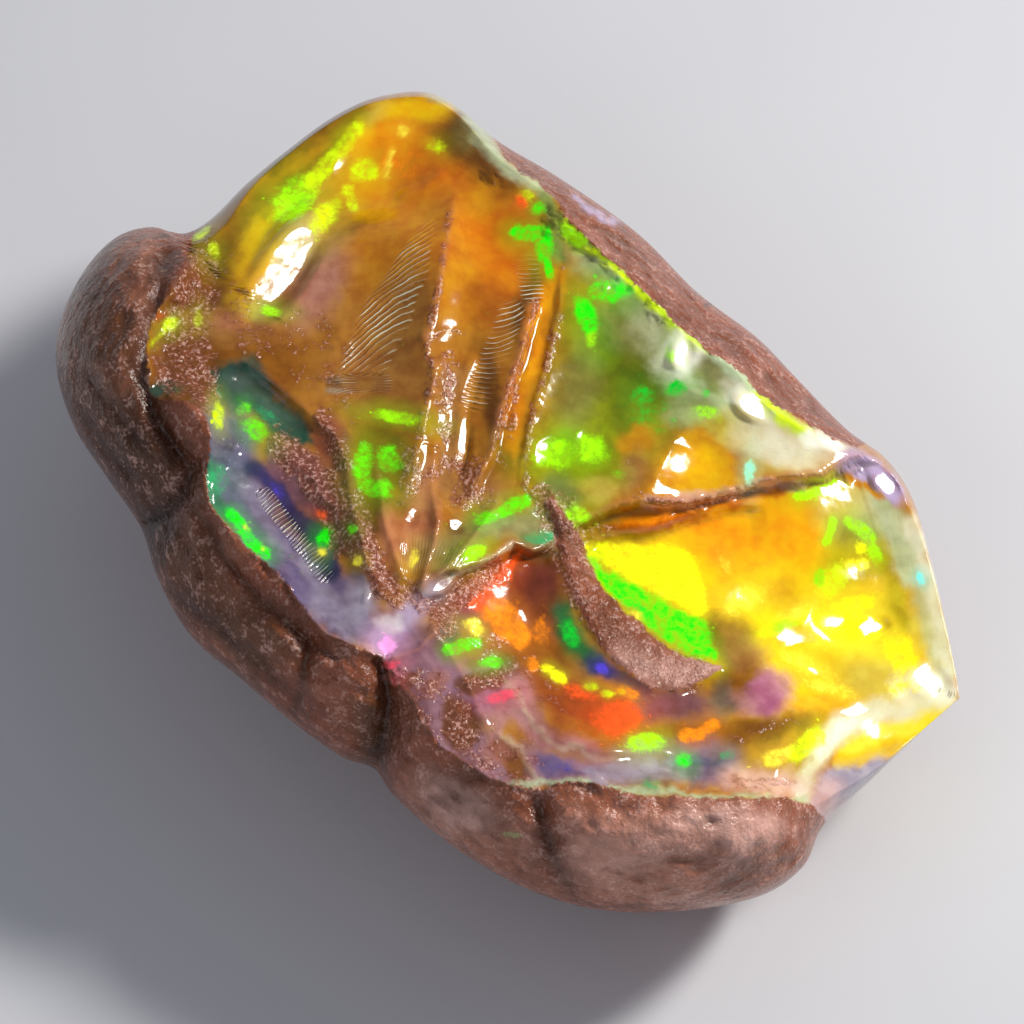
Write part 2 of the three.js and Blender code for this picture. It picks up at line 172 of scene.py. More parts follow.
STEPS = [  # path, drop to the right of the walk, reach to the left and to the right, half width of the wall
    ([(3.2, -2.2), (5, -1.4), (7, -0.4), (9, 0.1), (12, 0), (14, 0.4), (16.5, 1.1), (19, 1.8),
     (22, 2), (24, 3.1), (26.5, 3.4)], 1.5, 5.0, 7.0, 0.3),
    ([(4.8, -2.9), (7.5, -2.2), (10.5, -1.8), (13, -0.9), (15.6, -0.2), (18, 0)], 0.8, 1.0, 5.0, 0.3),
    ([(-6.4, -6.8), (-4, -5), (-2.6, -4.3), (-0.8, -3.9), (0.4, -2.9), (1.6, -3.4), (3.4, -3)],
     1.5, 3, 6, 0.3),
    ([(19.5, -20.6), (20.8, -18.2), (21.6, -16.2), (23.5, -15), (27, -14), (31.5, -13)],
     0.7, 3.0, 4.5, 2.0),
]

NODULES = [  # small beads along the ledge: middle, radius
    (10.2, 0.2, 0.5), (11, 0, 0.7), (12.5, 0, 0.5), (13.3, 0.2, 0.6), (14.2, 0.4, 0.4), (15.4, 0.8, 0.6),
    (16.2, 1, 0.4), (18.3, 1.5, 0.55), (20.4, 1.7, 0.6), (8.4, 0.1, 0.4), (-4.8, 9.9, 0.6),
    (-5.2, 8, 0.5), (1.4, 14, 0.5),
]

# Small flat chips that all lie at the same slope and so catch the light together: middle, half sizes, turn.
GLEAM_SLOPE = (-0.49, 0.08)
GLEAM_EDGE = (0.7, 1.3)
GLEAMS = [
    ((-15.7, 17), (4.3, 1.75), 60), ((12, 10.7), (1.2, 0.7), 66), ((16.9, 7.0), (1.5, 0.9), -36),
    ((25.2, -8.4), (1.3, 0.7), 0), ((23.1, -7.9), (0.6, 0.4), 0), ((29.2, -12.2), (1.6, 1.1), -30),
    ((24, -14.2), (1.4, 0.5), 10), ((-2.8, 8.4), (2.4, 0.65), 80), ((-3.3, 4.4), (2.4, 0.6), 86),
    ((-3.8, -1.3), (0.6, 0.6), 0), ((-4.6, -5.4), (1.2, 0.6), 40), ((-9.7, -6.3), (0.6, 0.35), 60),
    ((26.3, 1.6), (1.3, 0.7), -40), ((-12.6, 8.8), (0.7, 0.4), -30), ((-6.8, -0.6), (0.5, 0.8), 0),
    ((6.9, 15.3), (0.4, 0.3), 0), ((-7.3, -3), (0.35, 0.8), 0), ((-5.6, 12), (0.5, 0.3), 0),
    ((-19, 8.9), (0.35, 0.25), 20), ((-17.6, 8.2), (0.3, 0.2), 60), ((-17, 7.2), (0.4, 0.25), -40),
    ((-14, 5.2), (0.5, 0.15), 40), ((-13.2, 6), (0.3, 0.2), 0), ((-21.5, 16.4), (0.25, 0.15), 0),
    ((-22.4, 10.8), (0.3, 0.15), 30), ((-23.8, 9.8), (0.2, 0.5), 0), ((-4.4, -3.2), (0.4, 0.25), 30),
    ((-8.6, -4.2), (0.25, 0.5), 20),
]

TONGUE = [
    (2.6, 0.2), (3.2, -1.2), (3.7, -3.6), (4.4, -6), (5.3, -8), (6.7, -10.2), (8.4, -11.6), (9.8, -12.7),
    (11.6, -12.9), (13.2, -12.2), (14.7, -11.2), (11.9, -10.2), (10, -8.9), (8.2, -7.4), (6.8, -5.7),
    (5.7, -3.9), (4.5, -1.4), (3.0, 0.7),
]
TONGUE_HEIGHT = 0.5
TONGUE_FLANK = 0.4

SWELLINGS = [  # middle, half sizes, height
    ((-28, 12), (4.5, 6), 2.0), ((-24, -3), (3, 3.5), 1.2), ((-16, -11.5), (4.5, 3), 1.2),
    ((-3, -22), (5, 3.5), 1.2), ((13, -23.5), (7, 3.5), 1.4), ((13.6, 14.4), (2, 2), 0.6),
    ((8.8, 17.2), (3.4, 3.4), -1.2), ((13.6, 12), (3.4, 3.4), -1.9), ((18.6, 7.6), (3.4, 3.4), -2.4),
    ((23.4, 5), (2.6, 2.6), -1.4), ((26.4, 1.8), (1.5, 1.0), 0.9), ((-26, 16), (2.4, 2), 0.7),
    ((-25.5, 4), (2, 2), 0.6),
]

FOLDS = [  # path, depth, reach
    ([(-24, 17.5), (-24.8, 13), (-25.8, 9), (-24.5, 6), (-22.8, 3.5)], 1.4, 2.4),
    ([(-22, 2.8), (-22.5, 0.6), (-24.2, -0.8), (-26.4, -1.4)], 1.4, 2.0),
    ([(-29.4, 9), (-27.4, 6.4), (-25.6, 4.4)], 0.6, 1.3),
    ([(-30, 6.6), (-28.2, 4.2), (-26.6, 2)], 0.5, 1.1),
    ([(-21, -1), (-19.8, -3.6), (-17, -6.6), (-14.4, -9), (-12, -10.6)], 0.7, 1.3),
    ([(-23.6, -6), (-21, -8.2), (-18.6, -10), (-15.4, -12.8)], 0.7, 1.5),
    ([(-13.8, -9.6), (-14.4, -12.4), (-15.2, -15.4)], 0.8, 1.6),
    ([(-9.4, -18.6), (-8.7, -16), (-8.3, -13.6), (-8.8, -11)], 1.8, 2.4),
    ([(2, -20.4), (2.6, -22.6), (3.3, -24.6), (4.8, -27.6)], 0.9, 1.9),
    ([(-6, -21), (-4, -20), (-1.6, -20.4)], 0.4, 1.2), ([(8, -25), (12, -24.4), (16, -24.8)], 0.25, 1.4),
]


def smooth_loop(points):
    """Closed curve through given points."""
    p = np.array(points, float)
    a, b, c, d = (np.roll(p, shift, 0)[:, None, :] for shift in (1, 0, -1, -2))
    t = (np.arange(CURVE_STEPS) / CURVE_STEPS)[None, :, None]
    curve = 2 * b + (c - a) * t + (2 * a - 5 * b + 4 * c - d) * t**2 + (3 * b - a - 3 * c + d) * t**3
    return (curve / 2).reshape(-1, 2)


def outline_radius(angle):
    """Distance from the middle of the chart to the outline."""
    curve = smooth_loop(OUTLINE)
    angles = np.mod(np.arctan2(curve[:, 1], curve[:, 0]), math.tau)
    order = np.argsort(angles)
    radii = np.hypot(*curve.T)[order]
    return np.interp(np.mod(angle, math.tau), angles[order], radii, period=math.tau)


def from_path(path, u, v):
    """Distance to a path, how far along it the nearest place is, and the side: +1 right of the walk."""
    nearest = np.full(u.shape, 1e9)
    along = np.zeros(u.shape)
    side = np.ones(u.shape)
    for i, ((au, av), (bu, bv)) in enumerate(zip(path, path[1:])):
        du, dv = bu - au, bv - av
        t = np.clip(((u - au) * du + (v - av) * dv) / (du * du + dv * dv), 0, 1)
        distance = np.hypot(u - au - t * du, v - av - t * dv)
        closer = distance < nearest
        nearest = np.where(closer, distance, nearest)
        along = np.where(closer, (i + t) / (len(path) - 1), along)
        side = np.where(closer, np.where((u - au) * dv < (v - av) * du, -1, 1), side)
    return nearest, along, side


def inside_loop(loop, u, v):
    """Distance inside a closed path, negative outside it."""
    path = [*loop, loop[0]]
    inside = np.zeros(u.shape, bool)
    for (au, av), (bu, bv) in zip(path, path[1:]):
        if av != bv:
            inside ^= ((av > v) != (bv > v)) & (u < au + (v - av) * (bu - au) / (bv - av))
    return np.where(inside, 1, -1) * from_path(path, u, v)[0]


def inside_break(u, v):
    return inside_loop(smooth_loop(BREAK_EDGE).tolist(), u, v)


def reach_from(u, v, middle, size, turn=0):
    """Distance from the middle of a turned oval, as a share of its half sizes."""
    angle = math.radians(turn)
    x, y = u - middle[0], v - middle[1]
    across = (x * math.cos(angle) + y * math.sin(angle)) / size[0]
    up = (y * math.cos(angle) - x * math.sin(angle)) / size[1]
    return np.hypot(across, up)


def mound(u, v, middle, size, turn=0):
    """1 at the middle of a turned oval, falling off smoothly."""
    return np.exp(-reach_from(u, v, middle, size, turn) ** 2)


def fade(distance, reach):
    """1 at no distance, falling to 0 at the reach."""
    return (1 - np.clip(distance / reach, 0, 1)) ** 2


def taper(along, length):
    """1 along a path, falling to 0 over its last share at both ends."""
    return np.clip(np.minimum(along, 1 - along) / length, 0, 1)


def smoothstep(value, low, high):
    t = np.clip((value - low) / (high - low), 0, 1)
    return t * t * (3 - 2 * t)


SCATTER_ALONG = (12.9898, 78.233, 37.719)  # with the gain, turns a grid cell into a number that looks random
SCATTER_GAIN = 43758.5453
LOT_SHIFT, OCTAVE_SHIFT = 17.3, 5.1


def grain(points, size, lot, octaves, fineness=0.5):
    """Smooth random field around 0. Each octave has half the size of the last, and is flatter."""
    total = np.zeros(len(points))
    for octave in range(octaves):
        scaled = points * 2**octave / size + lot * LOT_SHIFT + octave * OCTAVE_SHIFT
        cell = np.floor(scaled)
        part = scaled - cell
        part = part * part * (3 - 2 * part)
        for corner in itertools.product((0, 1), repeat=3):
            picked = np.sin((cell + corner) @ SCATTER_ALONG) * SCATTER_GAIN
            weight = np.prod(np.where(corner, part, 1 - part), axis=1)
            total += weight * (2 * (picked - np.floor(picked)) - 1) * fineness**octave
    return total


def relief_of(points, form, octaves=2):
    height, size, lot = form
    return height * grain(points, size, lot, octaves)


def level_height(u, v):
    """Height of the break before anything is carved into it."""
    weight = 0
    height = 0
    for lu, lv, level in LEVELS:
        near = np.exp(-((u - lu) ** 2 + (v - lv) ** 2) / LEVEL_SPREAD**2) + SMALLEST_SHARE
        weight = weight + near
        height = height + near * level
    return height / weight


def scarred_height(u, v):
    """Height of the break with its hollows, scars, ridges, steps, beads and tongue."""
    height = level_height(u, v)
    for middle, size, turn, depth in HOLLOWS:
        height = height - depth * mound(u, v, middle, size, turn)
    for middle, size, turn, depth in SCARS:
        height = height - depth * np.maximum(1 - reach_from(u, v, middle, size, turn) ** 2, 0)
    for path, rise, left, right in RIDGES:
        distance, along, side = from_path(path, u, v)
        crest = RIDGE_END_HEIGHT + (1 - RIDGE_END_HEIGHT) * taper(along, RIDGE_TAPER)
        height = height + rise * crest * fade(distance, np.where(side > 0, right, left))
    for path, drop, left, right, wall in STEPS:
        distance, along, side = from_path(path, u, v)
        across = np.minimum(distance / wall, 1) * side * taper(along, STEP_TAPER)
        beyond = np.maximum(distance - wall, 0)
        height = height - drop / 2 * across * fade(beyond, np.where(side > 0, right, left))
    for middle_u, middle_v, radius in NODULES:
        above = np.maximum(1 - ((u - middle_u) ** 2 + (v - middle_v) ** 2) / radius**2, 0)
        height = height + BEAD_HEIGHT * radius * np.sqrt(above)
    return height + TONGUE_HEIGHT * smoothstep(inside_loop(TONGUE, u, v), -TONGUE_FLANK, TONGUE_FLANK)


def gleam_levels():
    """Height of the break at the middle of each chip."""
    middles = np.array([middle for middle, _, _ in GLEAMS], float)
    return scarred_height(middles[:, 0], middles[:, 1])


def break_height(u, v):
    """Height of the break, with its small flat chips."""
    height = scarred_height(u, v)
    for (middle, size, turn), level in zip(GLEAMS, gleam_levels()):
        window = 1 - smoothstep(reach_from(u, v, middle, size, turn), *GLEAM_EDGE)
        chip = level + GLEAM_SLOPE[0] * (u - middle[0]) + GLEAM_SLOPE[1] * (v - middle[1])
        height = height * (1 - window) + chip * window
    return height


def bulge(depth, rim):
    return depth * np.maximum(1 - rim**SKIN_POWER, 0) ** (1 / SKIN_POWER)


def skin_height(u, v, rim):
    """Height of the rind in front, if nothing had broken off."""
    height = bulge(FRONT_DEPTH, rim)
    shown = np.minimum(height / FULL_RELIEF_ABOVE, 1)
    for middle, size, rise in SWELLINGS:
        height = height + shown * rise * mound(u, v, middle, size)
    for path, depth, reach in FOLDS:
        height = height - shown * depth * fade(from_path(path, u, v)[0], reach)
    return height


# ---------------------------------------------------------------- colours of the stone

PALETTE = {
    # rind
    "soot": "20140e", "umber": "54301a", "bark": "744528", "rust": "96543a", "clay": "b4765e",
    "skin_pink": "e2b2a4",
    # amber glass
    "toffee": "6e420f", "brown_glass": "8a5410", "honey": "b87a20", "amber": "cf8a10",
    "pumpkin": "dc8006", "marigold": "faaa08", "gold": "fac800", "straw": "d2bc50", "tan": "a8743c",
    "salmon": "c07c58",
    # green glass
    "olive": "8e8c08", "moss": "6c760a", "khaki": "86844a", "sage": "a2a474", "pistachio": "c4ca9c",
    # pale glass
    "cream": "ebe8c8", "chalk": "fbfbe8", "bone": "cdbf9a", "celadon": "c2d4ac",
    # lilac and dark glass
    "lilac": "6e6082", "mauve": "9c7484", "orchid": "b46c8c", "pearl": "bfaccc", "mist": "a9a1b0",
    "ink": "2e2e54", "slate": "56645e", "teal": "244a3e", "navy": "343c4a", "puce": "7a5058",
    # red glass
    "brick": "984612", "ember": "bc4e14", "maroon": "6e3224", "rose": "b98282",
    # fire
    "green": "12f000", "emerald": "00c428", "jade": "30a060", "leaf": "60e400", "lime": "a4fc00",
    "citron": "d0f000", "lemon": "ffff0c", "sun": "fff040", "orange": "ff9010", "scarlet": "f85818",
    "crimson": "e44c60", "pink": "fca4e4", "violet": "5040c8", "aqua": "58f4f0", "mint": "9cf8cc",
}


def colour(name):
    """Linear colour of a paint."""
    code = PALETTE[name]
    channels = [int(code[i:i + 2], 16) / 255 for i in (0, 2, 4)]
    return np.array([c / 12.92 if c <= 0.04045 else ((c + 0.055) / 1.055) ** 2.4 for c in channels])


# A coat is a paint, where it lies, its size, its amount and how soft its edge is.

def spot(paint, u, v, a, b, turn=0, amount=1.0, soft=0.6):
    """Coat in the shape of a turned oval with half sizes a and b."""
    return paint, [(u, v)], (a, b, turn), amount, soft


def spots(paint, *rows):
    """Several spots of one paint."""
    return [spot(paint, *row) for row in rows]


def streak(paint, path, half_width, amount=1.0, soft=0.6):
    """Coat along a path."""
    return paint, path, (half_width,), amount, soft


def patch(paint, corners, amount=1.0, soft=0.6):
    """Coat that fills a loop of corners."""
    return paint, corners, (), amount, soft


BODY_BASE = "honey"
BODY = [
    # great shell and shoulder
    spot("tan", -9.4, 13.6, 4.6, 4.4, 0, 0.45, 0.9), spot("amber", -9.5, 18.5, 4.5, 3.4, 30, 0.8),
    spot("tan", -10, 8.5, 6, 2.6, 0, 0.5),
    streak("toffee", [(-21.6, 20), (-21, 15), (-22, 10), (-22.5, 8)], 2.4, 0.95),
    streak("bark", [(-23, 18), (-23.2, 13), (-23.6, 9.4), (-21, 9)], 1.4, 0.75, 0.9),
    spot("brown_glass", -17, 10.6, 4, 3), spot("gold", -17.6, 17.6, 1.4, 4.4, -20, 0.75),
    # Painted highlight: a pale wash over the crescent chip.
    spot("cream", -15.6, 17, 3.4, 1.1, 60, 0.55),
    *spots("tan", (-14.4, 14.6, 3.4, 2.2, 30, 0.9), (-20, 12.6, 2.4, 1.1, -10, 0.7)),
    spot("salmon", -19.6, 13, 1.0, 0.7, 0, 0.7), spot("rose", -13.2, 16, 1.6, 3, -28, 0.55),
    streak("amber", [(-20.4, 20.4), (-17.4, 22.8), (-13.6, 25.4), (-10.6, 27.4)], 1.5, 0.7),
    streak("brown_glass", [(-22, 19.8), (-18.4, 23.2), (-14, 26.4), (-11, 28)], 0.7, 0.9),
    streak("toffee", [(-17, 20.6), (-14.6, 23.4), (-12.2, 25.6)], 0.5, 0.5),
    streak("toffee", [(-19.4, 19.6), (-17.4, 21.6), (-15.6, 23)], 0.7, 0.6),
    spot("olive", -11.4, 26.4, 2.2, 0.8, 40, 0.8), spot("straw", -9.2, 27.8, 1.2, 0.6, 20, 0.9),
    # peak
    *spots("marigold", (-8.4, 22.8, 3.2, 3, 0, 0.85), (-8.2, 25.8, 2.8, 1.8)),
    spot("gold", -6.6, 28, 2.4, 0.9), spot("pumpkin", -5.2, 23.6, 2.4, 2.2, 0, 0.9),
    spot("brown_glass", -10.4, 19.6, 1.6, 0.5, 20, 0.5),
    streak("toffee", [(-3.4, 26.2), (-2, 24.6), (-0.6, 22.6)], 1.3, 0.9),
    spot("khaki", -3, 26.4, 0.9, 1.2, 30, 0.5),
    streak("celadon", [(-5.2, 29.3), (-3, 28), (-1.5, 26), (-0.4, 24.2), (1.2, 22.9), (2.8, 22.1)],
     0.55, 0.8, 0.9),
    streak("khaki", [(2.6, 21.8), (3.4, 20.2), (3.4, 18), (3.5, 16.8)], 0.6, 0.8),
    # crown between the first two ridges
    spot("pumpkin", -1.6, 18, 3.2, 3.6), spot("amber", -3.4, 15.4, 1.5, 3.2),
    spot("brick", -1.4, 14.6, 1.8, 1.4, 0, 0.55), spot("amber", -2.2, 21.6, 1.2, 1.6),
    spot("honey", -3.4, 9.6, 1.6, 3.4),
    *spots("toffee", (-1.2, 7, 0.7, 4.8, 12, 0.9), (1.2, 13.6, 0.9, 2.4, -12, 0.8)),
    streak("tan", [(-4, 9), (-4.2, 5), (-4.4, 2)], 0.8),
    streak("pumpkin", [(3.3, 16.2), (2.2, 12.4), (1.1, 9), (0.2, 4.6)], 0.9, 0.9, 0.6),
    streak("marigold", [(3.2, 15.8), (2.2, 12.4), (1.2, 9.4)], 0.45, 0.9, 0.9),
    streak("salmon", [(-6.2, 2.4), (-6.2, -1), (-6.4, -3.4)], 1.1, 0.8),
    # green hollow
    *spots("olive", (7.4, 8.6, 4.8, 5.2), (4.6, 3.4, 2.8, 2.6)), spot("moss", 9, 9.4, 2.6, 3),
    spot("khaki", 5, 8.4, 1.4, 3.6, -12, 0.6), spot("amber", 8.9, 4.8, 1.4, 0.8),
    spot("tan", 8.6, 2.6, 0.9, 1.5, -20), spot("straw", 6.2, 1.4, 1.7, 0.8, 0, 0.7),
    spot("leaf", 4.4, 4, 2, 1.2, 0, 0.3), spot("khaki", 3.6, 0.6, 1.2, 1.4),
    spot("sage", 6.4, 17, 2.4, 1.3, -40), spot("pistachio", 8.4, 15.4, 2.2, 0.8, -42, 0.8),
    spot("khaki", 8.2, 12.4, 2.4, 1.6, -35, 0.8), spot("sage", 10.4, 12.8, 2.6, 1.2, -42),
    *spots("pistachio", (11, 11.4, 2.4, 1.4, -42, 0.8), (11.8, 9.4, 1.4, 1.8, 20, 0.9),
           (14.6, 7.2, 3.2, 1.1, -15, 0.9)),
    spot("sage", 14.2, 9.2, 2.4, 1.4, -12), spot("celadon", 14.9, 8.6, 2.9, 1.7, -22, 0.8, 0.4),
    spot("khaki", 14.8, 8.9, 2.5, 1.35, -22, 0.9, 0.3), spot("cream", 15.4, 9.9, 1.8, 0.5, -40, 0.5),
    # Painted highlight: chalk around the two chips that catch the light.
    *spots("chalk", (12, 10.6, 1.9, 1.1, 66, 0.9), (17, 7.0, 2.2, 0.9, -36, 0.9)),
    spot("cream", 14.6, 6.4, 1.8, 0.6, -10, 0.7), spot("sage", 12.8, 6.6, 1.6, 1.2),
    spot("straw", 16, 5.2, 2.4, 1.5, 0, 0.8), spot("bone", 17, 5.8, 1.6, 0.9, -10, 0.8),
    *spots("cream", (19.6, 4.2, 3.2, 1.7, -10, 0.9), (17.2, 7.3, 1.6, 0.7, -10)),
    spot("straw", 18, 2.8, 1.6, 0.6, 0, 0.6),
    patch("amber", [(12.3, 5.1), (9.3, 0.3), (12.6, 0.5), (16.4, 1.3), (15.6, 3.6), (14, 4.8)], 0.9, 0.5),
    spot("gold", 13, 2.8, 2.0, 1.4, 0, 0.8),
    streak("citron", [(4, 19.6), (6.2, 17.7), (8.6, 15.5), (11.1, 13), (13.6, 11)], 0.42, 0.9, 0.8),
    streak("celadon", [(13.6, 10.9), (15.6, 9.3), (17.2, 7.9)], 0.42, 0.9),
    streak("citron", [(17.2, 7.8), (19.2, 6.4), (21, 5.2)], 0.42, 0.9, 0.8),
    streak("chalk", [(21, 5), (23.2, 4.2)], 0.5),
    # lower fan
    spot("khaki", -3.4, -2.6, 2.8, 1.5, 30, 0.8), spot("sage", 0.4, -1.4, 2.4, 0.9, 10, 0.8),
    spot("tan", -2.2, 1, 2.4, 1.3), spot("khaki", 2.4, -1, 0.7, 0.7),
    spot("jade", 1.8, -2.5, 1.5, 0.5, 10, 0.5), spot("brown_glass", -8.8, 3.6, 2.2, 4),
    spot("toffee", -9.6, -1.6, 0.9, 3, -15, 0.8),
    streak("bone", [(-4, -4.9), (-2.4, -4.2), (-0.8, -3.8), (0.2, -2.9)], 0.2),
    spot("mist", -5.4, -6, 2.0, 0.9, 35, 0.8), spot("pearl", -6.6, -7, 1.4, 0.9, 35, 0.6),
    spot("salmon", -8.2, -2.4, 0.8, 1.8, 0, 0.8),
    # recess and lens by the left rind
    spot("khaki", -19.4, 6.6, 1.4, 1.4, 0, 0.6),
    patch("teal", [(-20.6, 9.9), (-17.9, 10.5), (-16.6, 8.5), (-14.7, 6.7), (-13, 4.5), (-14.7, 4),
     (-16.3, 5), (-17.6, 6.5), (-19.2, 7), (-20.5, 8)]),
    streak("slate", [(-19, 8.8), (-17, 7.4), (-15.6, 5.8)], 0.8, 0.6, 0.9),
    spot("teal", -23.9, 8.2, 1.5, 0.5, 0, 0.9, 0.4),
    streak("lilac", [(-19.8, 5), (-19.4, 1.6), (-17.6, -1.6), (-14.6, -4.6), (-11.4, -7.4)], 2.1, 1, 0.4),
    streak("mist", [(-18.2, 1.4), (-16, -2.4), (-12.6, -6)], 0.6, 0.35),
    streak("mist", [(-13, -6.8), (-11, -8.4)], 1.0, 0.5),
    streak("ink", [(-17.6, 3), (-16, 1.2), (-14.4, -0.8), (-13, -2.6), (-12.2, -4.4)], 0.75, 0.95, 0.5),
    spot("pearl", -8.2, -8.7, 2.0, 1.5, 20), spot("mist", -10.4, -6.4, 1.0, 1.6, -10, 0.8),
    spot("chalk", -8.4, -8, 0.9, 0.6, 0, 0.5),
    streak("jade", [(-20.6, 2.6), (-20.4, 0.4), (-19.6, -1)], 0.6, 0.6),
    patch("puce", [(-16.8, 4.7), (-13.1, 3.6), (-11.4, 0.3), (-10.8, -3.1), (-12.5, -2.4),
     (-13.7, -0.5), (-15.2, 1.3), (-17, 3)]),
    streak("rust", [(-12.8, 6), (-11.8, 3), (-11.2, 0), (-10.4, -3), (-8.6, -5.4)], 0.9, 0.9, 0.4),
    # golden basin
    *spots("gold", (17, -3, 9, 4.4, 8), (21, -10, 8, 4.6)),
    spot("lemon", 20, -8.4, 5, 2.4, -10, 0.45, 0.9), spot("sun", 25, -8.6, 3.6, 3, 0, 0.5, 0.9),
    *spots("marigold", (15, -2.4, 4, 2), (20.6, -2, 2.4, 1.4, 0, 0.6)),
    spot("amber", 19.4, -6.4, 1.2, 1.2, 0, 0.5), spot("straw", 25.6, -12, 2.4, 1.3, -10, 0.8),
    spot("amber", 20, -9, 1.6, 0.8, 0, 0.5), spot("straw", 23.4, 0.4, 1.9, 1.7, -40),
    spot("khaki", 24.4, -1.8, 2.0, 1.2, 0, 0.7), spot("olive", 24.2, -3.6, 1.8, 1.6, 0, 0.6),
    streak("pistachio", [(26, 0.4), (27, -2.2), (27.9, -4.6)], 0.9),
    streak("olive", [(26, -3.8), (26.8, -5.8), (27.6, -8)], 0.6, 0.5, 0.9),
    spot("straw", 28.6, -8.4, 0.7, 1.6, 12, 0.5), spot("olive", 27.4, -3.2, 0.5, 1.1, 10, 0.45),
    spot("pistachio", 25.2, -0.6, 0.9, 1.8, 15, 0.5, 0.9),
    streak("pistachio", [(27.4, -0.6), (28.2, -3.6), (29, -6), (29.8, -9), (30.5, -11.6)],
     0.8, 0.75, 0.7),
    streak("cream", [(28.2, -1), (29, -4), (30, -8), (30.8, -11.6)], 0.5, 0.8, 0.8),
    # Painted shadow under the ledge.
    patch("brick", [(4.8, -2.7), (7.1, -0.9), (10, -0.7), (14.4, -0.4), (12, -1.6), (8.5, -2.2)]),
    streak("pumpkin", [(8, -0.7), (11, -0.5), (15, 0), (19, 1)], 0.45, 0.9),
    spot("brown_glass", 15.2, -9.2, 1.8, 1.4, -20), spot("tan", 16.4, -10.8, 1.8, 1.6, -40),
    spot("brown_glass", 16, -12.6, 2.4, 1.2), spot("orchid", 18.3, -13, 1.9, 1.4, 20, 1, 0.35),
    spot("rose", 16.4, -13.6, 1.2, 0.8, 0, 0.7), spot("toffee", 18, -15.2, 3, 0.7, 6, 0.8),
    # toe
    patch("mist", [(20.6, -21), (21.7, -18.6), (22.9, -17.6), (27, -16), (29, -16.4), (26, -20),
     (22.3, -23)]),
    patch("gold", [(22.7, -17.8), (22.9, -16.4), (26.8, -14.6), (31.8, -13.2), (30.6, -15.4),
     (27.4, -17.4), (25.2, -17.6)]),
    streak("sun", [(24, -16), (27, -15.4), (30.2, -14.2)], 0.8, 0.8),
    spot("skin_pink", 22, -20, 1.2, 1.4, 0, 0.6),
    streak("straw", [(23, -17.6), (25.2, -17.2), (27.4, -16.8)], 0.3, 0.6),
    streak("cream", [(20.3, -19.4), (21.5, -16.8), (23.2, -15), (25.2, -14.2)], 0.75, 0.9, 0.7),
    streak("chalk", [(21.5, -16.9), (22.9, -15.2), (24.8, -14.1)], 0.45, 0.9, 0.8),
    streak("cream", [(24.8, -14), (27.4, -14), (30.4, -13.2)], 0.7, 0.9, 0.8),
    streak("chalk", [(27.6, -12.4), (29.6, -12.2), (30.8, -13)], 0.8, 0.9, 0.8),
    streak("pearl", [(24, 3), (25.6, 2.4), (26.9, 1.2)], 0.95, 1, 0.4),
    streak("amber", [(23.6, 2.3), (25, 1.4), (26.2, 0.5)], 0.28),
    # red bowl
    spot("tan", 1.4, -9.6, 4.6, 3.6, -40, 0.9), spot("brick", 1.2, -8.4, 2.6, 3.4, 20, 0.7),
    spot("maroon", 2.2, -5.4, 2.0, 2.6, 0), spot("brown_glass", 2.6, -10.6, 2.4, 1.6, -30, 0.8),
    spot("brick", 4.6, -13.6, 3.6, 1.2, -20, 0.9), spot("ember", 6.8, -14.4, 2.2, 1.0, -10, 0.8),
    spot("toffee", -0.2, -10.8, 1.0, 1.2, 0, 0.7), spot("puce", -3.4, -7.4, 1.6, 2.0, -40, 0.9),
    spot("tan", -1.6, -9.8, 1.6, 1.2, 0, 0.7), spot("slate", -4.2, -9, 0.9, 0.7, 0, 0.8),
    streak("teal", [(3.7, -7.2), (4.6, -9.6), (6, -11)], 0.8, 0.95),
    streak("navy", [(6, -11.2), (7.6, -11.8), (9.6, -12.6)], 0.6, 0.95),
    spot("puce", 11.6, -13.8, 2.8, 1.3, -5), spot("slate", 14.8, -13.6, 0.8, 1.2, 0, 0.6),
    spot("brown_glass", 13.4, -16, 3.4, 0.9, 0, 0.8),
    # lilac selvage
    streak("mauve", [(-6.4, -11), (-5.4, -13.6), (-4.6, -16.6), (-1.6, -18.4)], 2.4, 0.95, 0.4),
    spot("mauve", -2.4, -12.6, 3.4, 1.9, -20),
    streak("rose", [(0.4, -12.8), (0.8, -14.6), (2.6, -16.2), (6, -17)], 0.9, 0.9),
    spot("puce", -6.6, -14.6, 1.3, 2.6),
    streak("mauve", [(1, -18), (5, -18), (10, -17.6), (15, -17.6)], 1.3, 0.9),
    streak("mist", [(5.6, -18.2), (9, -18.4), (12, -18.2)], 0.6, 0.8),
    *spots("bark", (-3.2, -15, 1.2, 2.1, 0, 0.95, 0.2), (-1.8, -11.9, 1.6, 0.85, 0, 0.9, 0.2),
           (-7.2, -12, 0.7, 1.0, 0, 0.8, 0.25)),
    streak("bark", [(-7, -13.4), (-5.9, -15.6), (-5.6, -17.4), (-3, -18.2)], 0.7, 0.7, 0.4),
    streak("rust", [(-0.6, -16.8), (0.4, -18.2)], 0.7, 0.8, 0.3),
    streak("bone", [(-0.4, -12.3), (1, -14.4), (3, -16.2), (5.6, -16.8), (8, -17.3)], 0.22, 0.4, 0.9),
    streak("bone", [(-1.2, -15.4), (0.6, -17), (1.6, -18.6), (3.2, -19.4)], 0.2, 0.45, 0.9),
    streak("rose", [(-0.6, -14), (-1, -16)], 0.4, 0.7),
    patch("lilac", [(2, -17.2), (3.4, -17.2), (5, -18.4), (2.6, -18.7), (1.9, -18.2)], 0.9),
    spot("clay", -4.8, -12.2, 0.9, 0.7, 20, 0.6), spot("tan", 4.2, -17, 1.6, 0.3, -8, 0.7),
    spot("clay", -1, -17.2, 0.8, 1.0, 0, 0.6), spot("mist", -4.8, -17.2, 0.9, 0.4, -30, 0.6),
    spot("rose", 7.6, -17, 1.4, 0.35, -4, 0.7), spot("puce", 3, -15.2, 1.4, 0.5, -30, 0.5),
